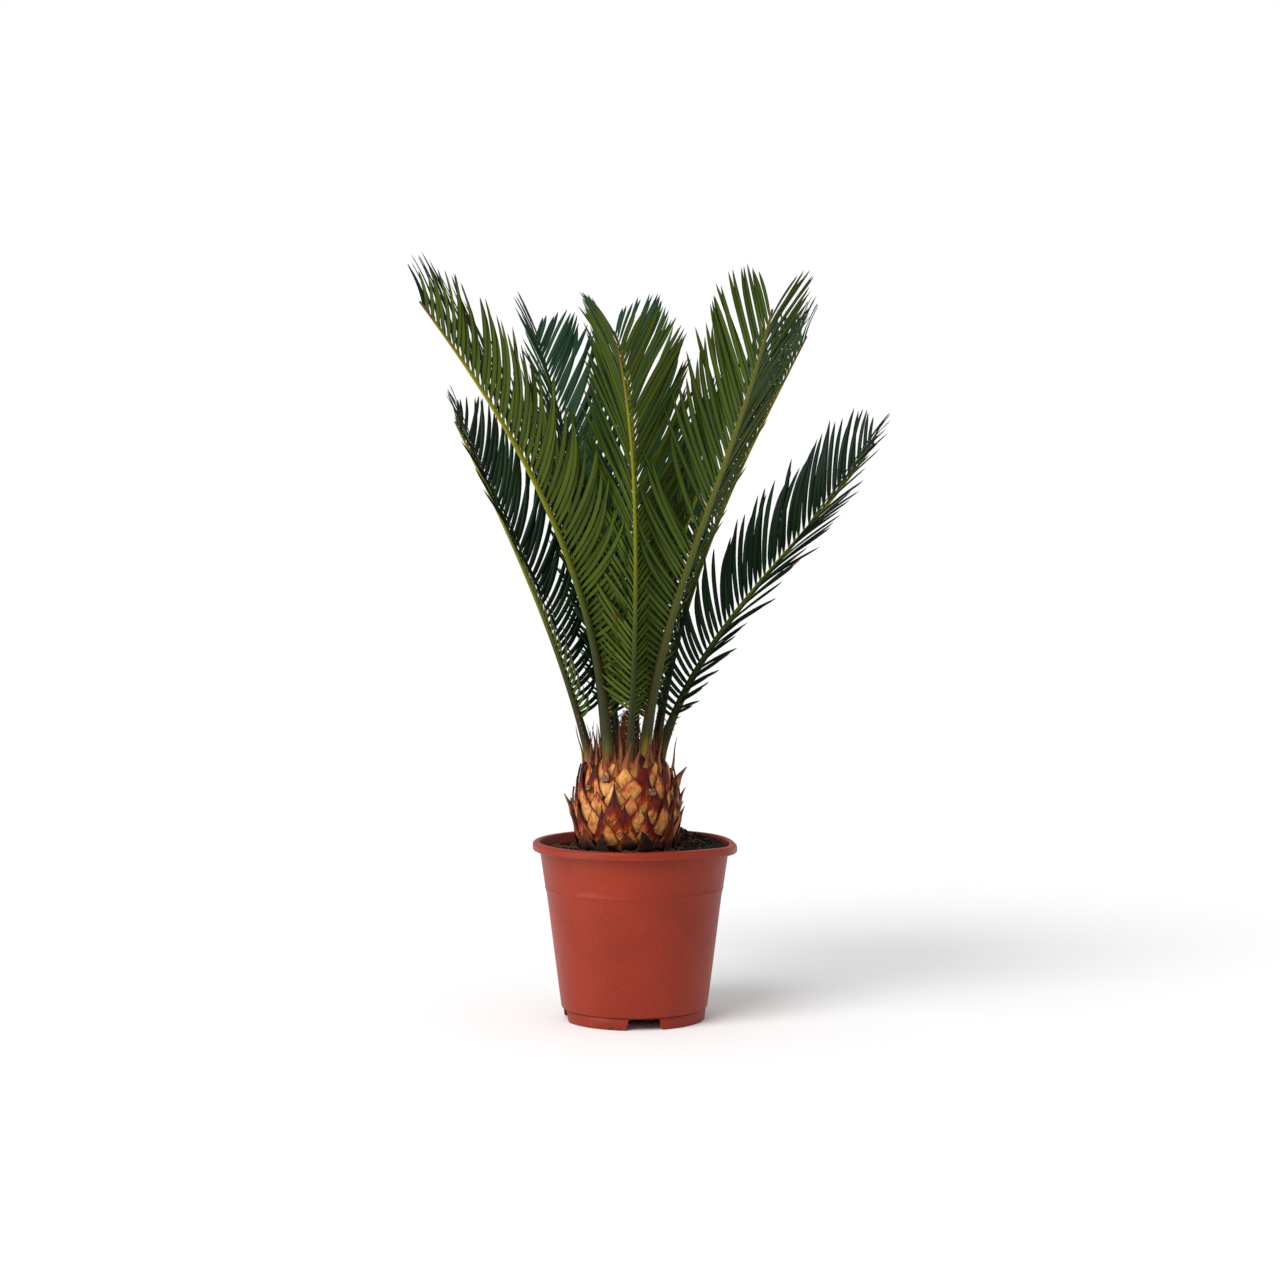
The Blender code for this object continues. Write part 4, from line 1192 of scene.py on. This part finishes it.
def build_bud():
    """The felted bud: a lumpy spindle set with hairs, and the felt between the leaf stalks."""
    rng = random.Random(3)
    bud = Shape()
    rings = []
    for i in range(BUD_RINGS + 1):
        share = i / BUD_RINGS
        z = CROWN_Z - 2 * MM + (BUD_HEIGHT + 2 * MM) * share
        ring = []
        for turn in turns(BUD_SIDES):
            out = around(turn)
            lumpy = 1 + 0.13 * wave((*out.xy, share * 4), 0.35)
            ring.append(off_trunk(out, BUD_RADIUS * between(BUD_OUTLINE, share) * lumpy, z))
        rings.append(ring)
    tube(bud, rings)
    for _ in range(BUD_HAIRS):
        share = rng.uniform(0.02, 0.97)
        out = around(rng.uniform(0, 360))
        reach = BUD_RADIUS * between(BUD_OUTLINE, share) * 0.9
        foot = off_trunk(out, reach, CROWN_Z + BUD_HEIGHT * share)
        hair(bud, foot, out, rng.uniform(2, 5) * MM, rng.uniform(20, 50), 0.35 * MM)
    for _ in range(CROWN_HAIRS):
        out = around(rng.uniform(0, 360))
        reach = rng.uniform(0.1, 0.9)
        foot = off_trunk(out, CROWN_RADIUS * reach, CROWN_Z + (5 - 4 * reach) * MM)
        hair(bud, foot, out, rng.uniform(3, 20) * MM, rng.uniform(-30, 30), 0.45 * MM)
    bud.piece("felted_bud", [felt_skin()], "bud_felt", ["crown_bud"])


# ---- Fronds ----


RIB_TINTS = ((0.0, linear(150, 86, 36)), (0.015, linear(130, 92, 34)), (0.035, linear(82, 82, 28)),
             (0.06, linear(46, 48, 20)), (0.12, linear(40, 47, 18)), (0.24, linear(48, 58, 16)),
             (0.36, linear(72, 84, 14)), (0.5, linear(104, 114, 12)), (0.65, linear(124, 128, 12)),
             (0.85, linear(132, 128, 16)), (0.95, linear(126, 104, 20)), (1.0, linear(104, 68, 28)))
RIB_EDGE = linear(62, 38, 26)
RIB_DULL = linear(70, 76, 28)
RIB_FRESH = linear(176, 170, 36)
SPINE_TINTS = [linear(110, 96, 50), linear(150, 118, 62), linear(96, 58, 36)]


def at_stages(values, share):
    """The value at share of the curve through the values at 0, 1/2 and 1."""
    foot, middle, tip = values
    return (foot * (1 - share) * (1 - 2 * share) + middle * 4 * share * (1 - share)
            + tip * share * (2 * share - 1))


@dataclass
class Place:
    """A place on a rib, with the rib's direction and those of its rows."""

    point: Vector
    along: Vector
    inward: Vector
    across: Vector


def rib_places(frond):
    places = []
    x, y = frond.seat
    point = Vector((x * MM, y * MM, CROWN_Z + 0.3 * MM))
    step = frond.length * MM / RIB_STEPS
    for i in range(RIB_STEPS + 1):
        share = i / RIB_STEPS
        lean = radians(at_stages(frond.lean, share))
        out = around(frond.azimuth + frond.veer * share)
        along = out * sin(lean) + UP * cos(lean)
        if places:
            point = point + (places[-1].along + along) * step / 2
        level = UP * sin(lean) - out * cos(lean)
        beside = along.cross(level)
        roll = radians(at_stages(frond.roll, share))
        inward = level * cos(roll) + beside * sin(roll)
        across = beside * cos(roll) - level * sin(roll)
        places.append(Place(point, along, inward, across))
    return places


def rib_ring(place, share, frond, wider=1.0):
    """The rib's ring of points at a place, and their tints."""
    radius = between(RIB_RADII, share) * frond.girth * MM * wider
    tint = mix(between(RIB_TINTS, share), RIB_DULL, frond.dull * min(1.0, 4 * share))
    tint = mix(tint, RIB_FRESH, frond.fresh * (1 - share / FRESH_TO))
    ring, tints = [], []
    for j in range(RIB_SIDES):
        angle = 2 * pi * j / RIB_SIDES
        side = cos(angle)
        far = radius * (1.0 if share > 0.1 else 1.0 + 0.06 * side * side)
        ring.append(place.point + (place.across * side + place.inward * RIB_FLAT * sin(angle)) * far)
        brown = max(0.0, abs(side) - 0.55) * 1.1 * between(RIB_BROWN, share)
        tints.append(mix(tint, RIB_EDGE, brown + 0.18 * wave(ring[-1], 3 * MM, 6.0)))
    return ring, tints


def build_rib(frond, places):
    """The rib, from a little below its seat to its tip, with the spines of its bare stalk."""
    foot = places[0]
    below = Place(foot.point - foot.along * RIB_BELOW, foot.along, foot.inward, foot.across)
    grown = [rib_ring(below, 0.0, frond, 1.12)]
    grown += [rib_ring(places[i], i / RIB_STEPS, frond) for i in range(0, RIB_STEPS + 1, RIB_RING_EVERY)]
    rib = Shape()
    tube(rib, [ring for ring, _ in grown])
    rib.colours = [tint for _, tints in grown for tint in tints]
    add_spines(rib, frond, places)
    return rib


def add_spines(rib, frond, places):
    """Short stiff spines along both edges of the bare stalk."""
    rng = random.Random(int(frond.azimuth * 7) + 400)
    share = SPINES_FROM
    while share < frond.bare - 0.004:
        for side in (-1, 1):
            place = places[round((share + rng.uniform(0, 0.006)) * RIB_STEPS)]
            radius = between(RIB_RADII, share) * frond.girth * MM
            grow = (share - 0.03) / (frond.bare - 0.03)
            length = (1.2 + 5.0 * grow ** 2) * MM * rng.uniform(0.7, 1.3)
            ahead = (place.across * side + place.along * 0.7 + place.inward * 0.3).normalized()
            foot = place.point + place.across * side * radius * 0.7
            path = [foot + ahead * far for far in (0.0, radius * 0.3 + length * 0.5, radius * 0.3 + length)]
            blade(rib, path, place.inward, [1.3 * MM, 0.9 * MM, 0.15 * MM], 0.8 * MM, 0, SPINE_TINTS)
        share += rng.uniform(0.011, 0.017)


def leaflet_path(place, side, share, length, turn_more, keel_more, sway):
    """Points and directions along a leaflet, which sweeps toward the rib's tip and falls open."""
    sweep = between(SWEEPS, share)
    angle = between(ANGLES, share) + SWEEP_BEFORE * sweep + turn_more
    points = [place.point.copy()]
    directions = []
    for start, end in zip(STATIONS, STATIONS[1:]):
        reach = (start + end) / 2
        turn = radians(angle - (sweep + sway) * reach)
        keel = radians(KEEL + keel_more - OPENING * reach)
        row = place.across * side * cos(keel) + place.inward * sin(keel)
        direction = place.along * cos(turn) + row * sin(turn) - UP * DROOP * reach
        direction.normalize()
        points.append(points[-1] + direction * length * (end - start))
        directions.append(direction)
    directions.append(directions[-1])
    return points, directions


def leaflet_rings(place, side, points, directions, width, twist):
    rings = []
    for station, point, direction in zip(STATIONS, points, directions):
        upper = (direction.cross(place.along) * side).normalized()
        upper.rotate(Matrix.Rotation(radians(twist * station) * side, 3, direction))
        edge = upper.cross(direction)
        half = width / 2 * between(OUTLINE, station)
        thin = MM * min(1.0, 2.6 * between(OUTLINE, station))
        rings.append([point + edge * across * half + upper * high * thin for across, high in SECTION])
    return rings


def strip_tree(points, directions, place, width):
    """A flat strip as wide as the leaflet, to test what it would touch."""
    corners = []
    for point, direction in zip(points, directions):
        edge = direction.cross(place.along).normalized().cross(direction) * width / 2
        corners += [point + edge, point - edge]
    faces = [(2 * i, 2 * i + 1, 2 * i + 3, 2 * i + 2) for i in range(2, len(points) - 1)]
    return BVHTree.FromPolygons(corners, faces)


def add_leaflet(leaves, rings, tone_up, tone_down, dry):
    """A leaflet, with the finish of each face: foot, blade and, where it is dry, tip."""
    tube(leaves, rings)
    up, down = UPPER + tone_up, UNDER + tone_down
    # The margins wear a darker tone as painted shade, and the midline a paler one that is partly painted
    # highlight.
    across = [up, up, up, up, SHADED_EDGE, down, MIDRIB_AND_HIGHLIGHT, down, SHADED_EDGE]
    dry_rings = TIP_RINGS if dry else 0
    kinds = [FOOT] * (1 + FOOT_RINGS * len(across))
    kinds += across * (len(rings) - 1 - FOOT_RINGS - dry_rings) + [DRY] * (dry_rings * len(across))
    kinds.append(DRY if dry else up)
    leaves.slots[-len(kinds):] = kinds


def build_leaflets(frond, places, obstacles):
    """Both rows of leaflets, set by turns, each a little unlike the next."""
    rng = random.Random(int(frond.azimuth * 13) + int(frond.length * 10))
    leaves = Shape()
    pairs = round((LEAFY_TO - frond.bare) * frond.length * MM / LEAFLET_PITCH)
    for i in range(pairs):
        for side in (-1, 1):
            even = (i + 0.25 + 0.25 * side) / (pairs - 0.5)
            share = (even + CROWDING * even * even) / (1 + CROWDING)
            along_rib = frond.bare + (LEAFY_TO - frond.bare) * share
            place = places[round(along_rib * RIB_STEPS)]
            length = frond.leaflet * MM * between(LENGTHS, share) * rng.uniform(0.93, 1.0)
            width = between(LEAFLET_WIDTHS, share) * MM * rng.uniform(0.92, 1.06)
            turn, keel = rng.uniform(-2.0, 2.0), rng.uniform(-5, 5)
            sway, twist = rng.uniform(-8, 8), rng.uniform(-14, 14)
            tones = rng.choice((0, 0, 1, 1, 1, 2)), rng.choice((0, 1, 1, 1, 2))
            dry = rng.random() < DRY_SHARE
            if side == 1 and any(low < along_rib < high for low, high in frond.cut):
                length, dry = STUB_LEAFLET, True
            for part in SHORTER:
                points, directions = leaflet_path(place, side, share, length * part, turn, keel, sway)
                tree = strip_tree(points, directions, place, width)
                if not any(tree.overlap(obstacle) for obstacle in obstacles):
                    rings = leaflet_rings(place, side, points, directions, width, twist)
                    add_leaflet(leaves, rings, *tones, dry)
                    break
    return leaves


def build_fronds():
    """Every rib, and then the leaflets, which keep clear of the other fronds' ribs."""
    finishes = leaf_finishes()
    skin = rib_skin()
    places = {name: rib_places(frond) for name, frond in FRONDS.items()}
    ribs = {name: build_rib(frond, places[name]) for name, frond in FRONDS.items()}
    trees = {name: BVHTree.FromPolygons(rib.points, rib.faces) for name, rib in ribs.items()}
    for name, frond in FRONDS.items():
        others = [tree for other, tree in trees.items() if other != name]
        leaves = build_leaflets(frond, places[name], others)
        ribs[name].piece(name + "_rib", [skin], "frond_green", [name])
        leaves.piece(name + "_leaflets", finishes[frond.tone], "frond_green", [name], sharp=50)


# ---- Studio ----


def build_studio():
    """The camera, a pale floor, a white world that lights softly, a soft key light and a panel."""
    scene = bpy.context.scene
    scene.view_settings.view_transform = "Standard"
    camera = put("camera", bpy.data.cameras.new("camera"))
    camera.data.lens = CAMERA_LENS
    camera.data.sensor_width = 36.0
    camera.data.clip_end = 200.0
    camera.location = CAMERA_PLACE
    camera.rotation_euler = (radians(90 - CAMERA_PITCH), 0.0, 0.0)
    scene.camera = camera

    far = FLOOR_REACH
    corners = [(-far, -far, 0), (far, -far, 0), (far, far, 0), (-far, far, 0)]
    mesh = make_mesh("floor", corners, [(0, 1, 2, 3)])
    mesh.materials.append(Finish("pale_floor", (0.96, 0.96, 0.96), 0.9, 0.1).material)
    floor = put("floor", mesh)

    world = bpy.data.worlds.new("studio")
    world.use_nodes = True
    scene.world = world
    tree = world.node_tree
    seen = add_node(tree, "ShaderNodeLightPath", {}, "Is Camera Ray")
    strength = add_node(tree, "ShaderNodeMapRange",
                        {"Value": seen, "To Min": SKY_LIGHT, "To Max": 1.0}, "Result")
    backdrop = tree.nodes["Background"]
    backdrop.inputs["Color"].default_value = (*WHITE, 1.0)
    tree.links.new(strength, backdrop.inputs["Strength"])

    toward_key = around(KEY_AZIMUTH, cos(radians(KEY_HEIGHT)), sin(radians(KEY_HEIGHT)))
    add_light("key", "SUN", KEY_LIGHT, -toward_key, angle=radians(KEY_SOFTNESS))
    panel = add_light("left_panel", "AREA", PANEL_POWER, PANEL_AIM - PANEL_PLACE, shape="SQUARE",
                      size=PANEL_SIZE)
    panel.location = PANEL_PLACE


def add_light(name, kind, power, direction, **settings):
    """A light that shines in the direction."""
    data = bpy.data.lights.new(name, kind)
    data.energy = power
    for key, value in settings.items():
        setattr(data, key, value)
    light = put(name, data)
    light.rotation_euler = direction.to_track_quat("-Z", "Y").to_euler()
    return light


build_studio()
build_pot()
build_soil()
build_crumbs()
build_fibres()
build_trunk()
build_bud()
build_fronds()
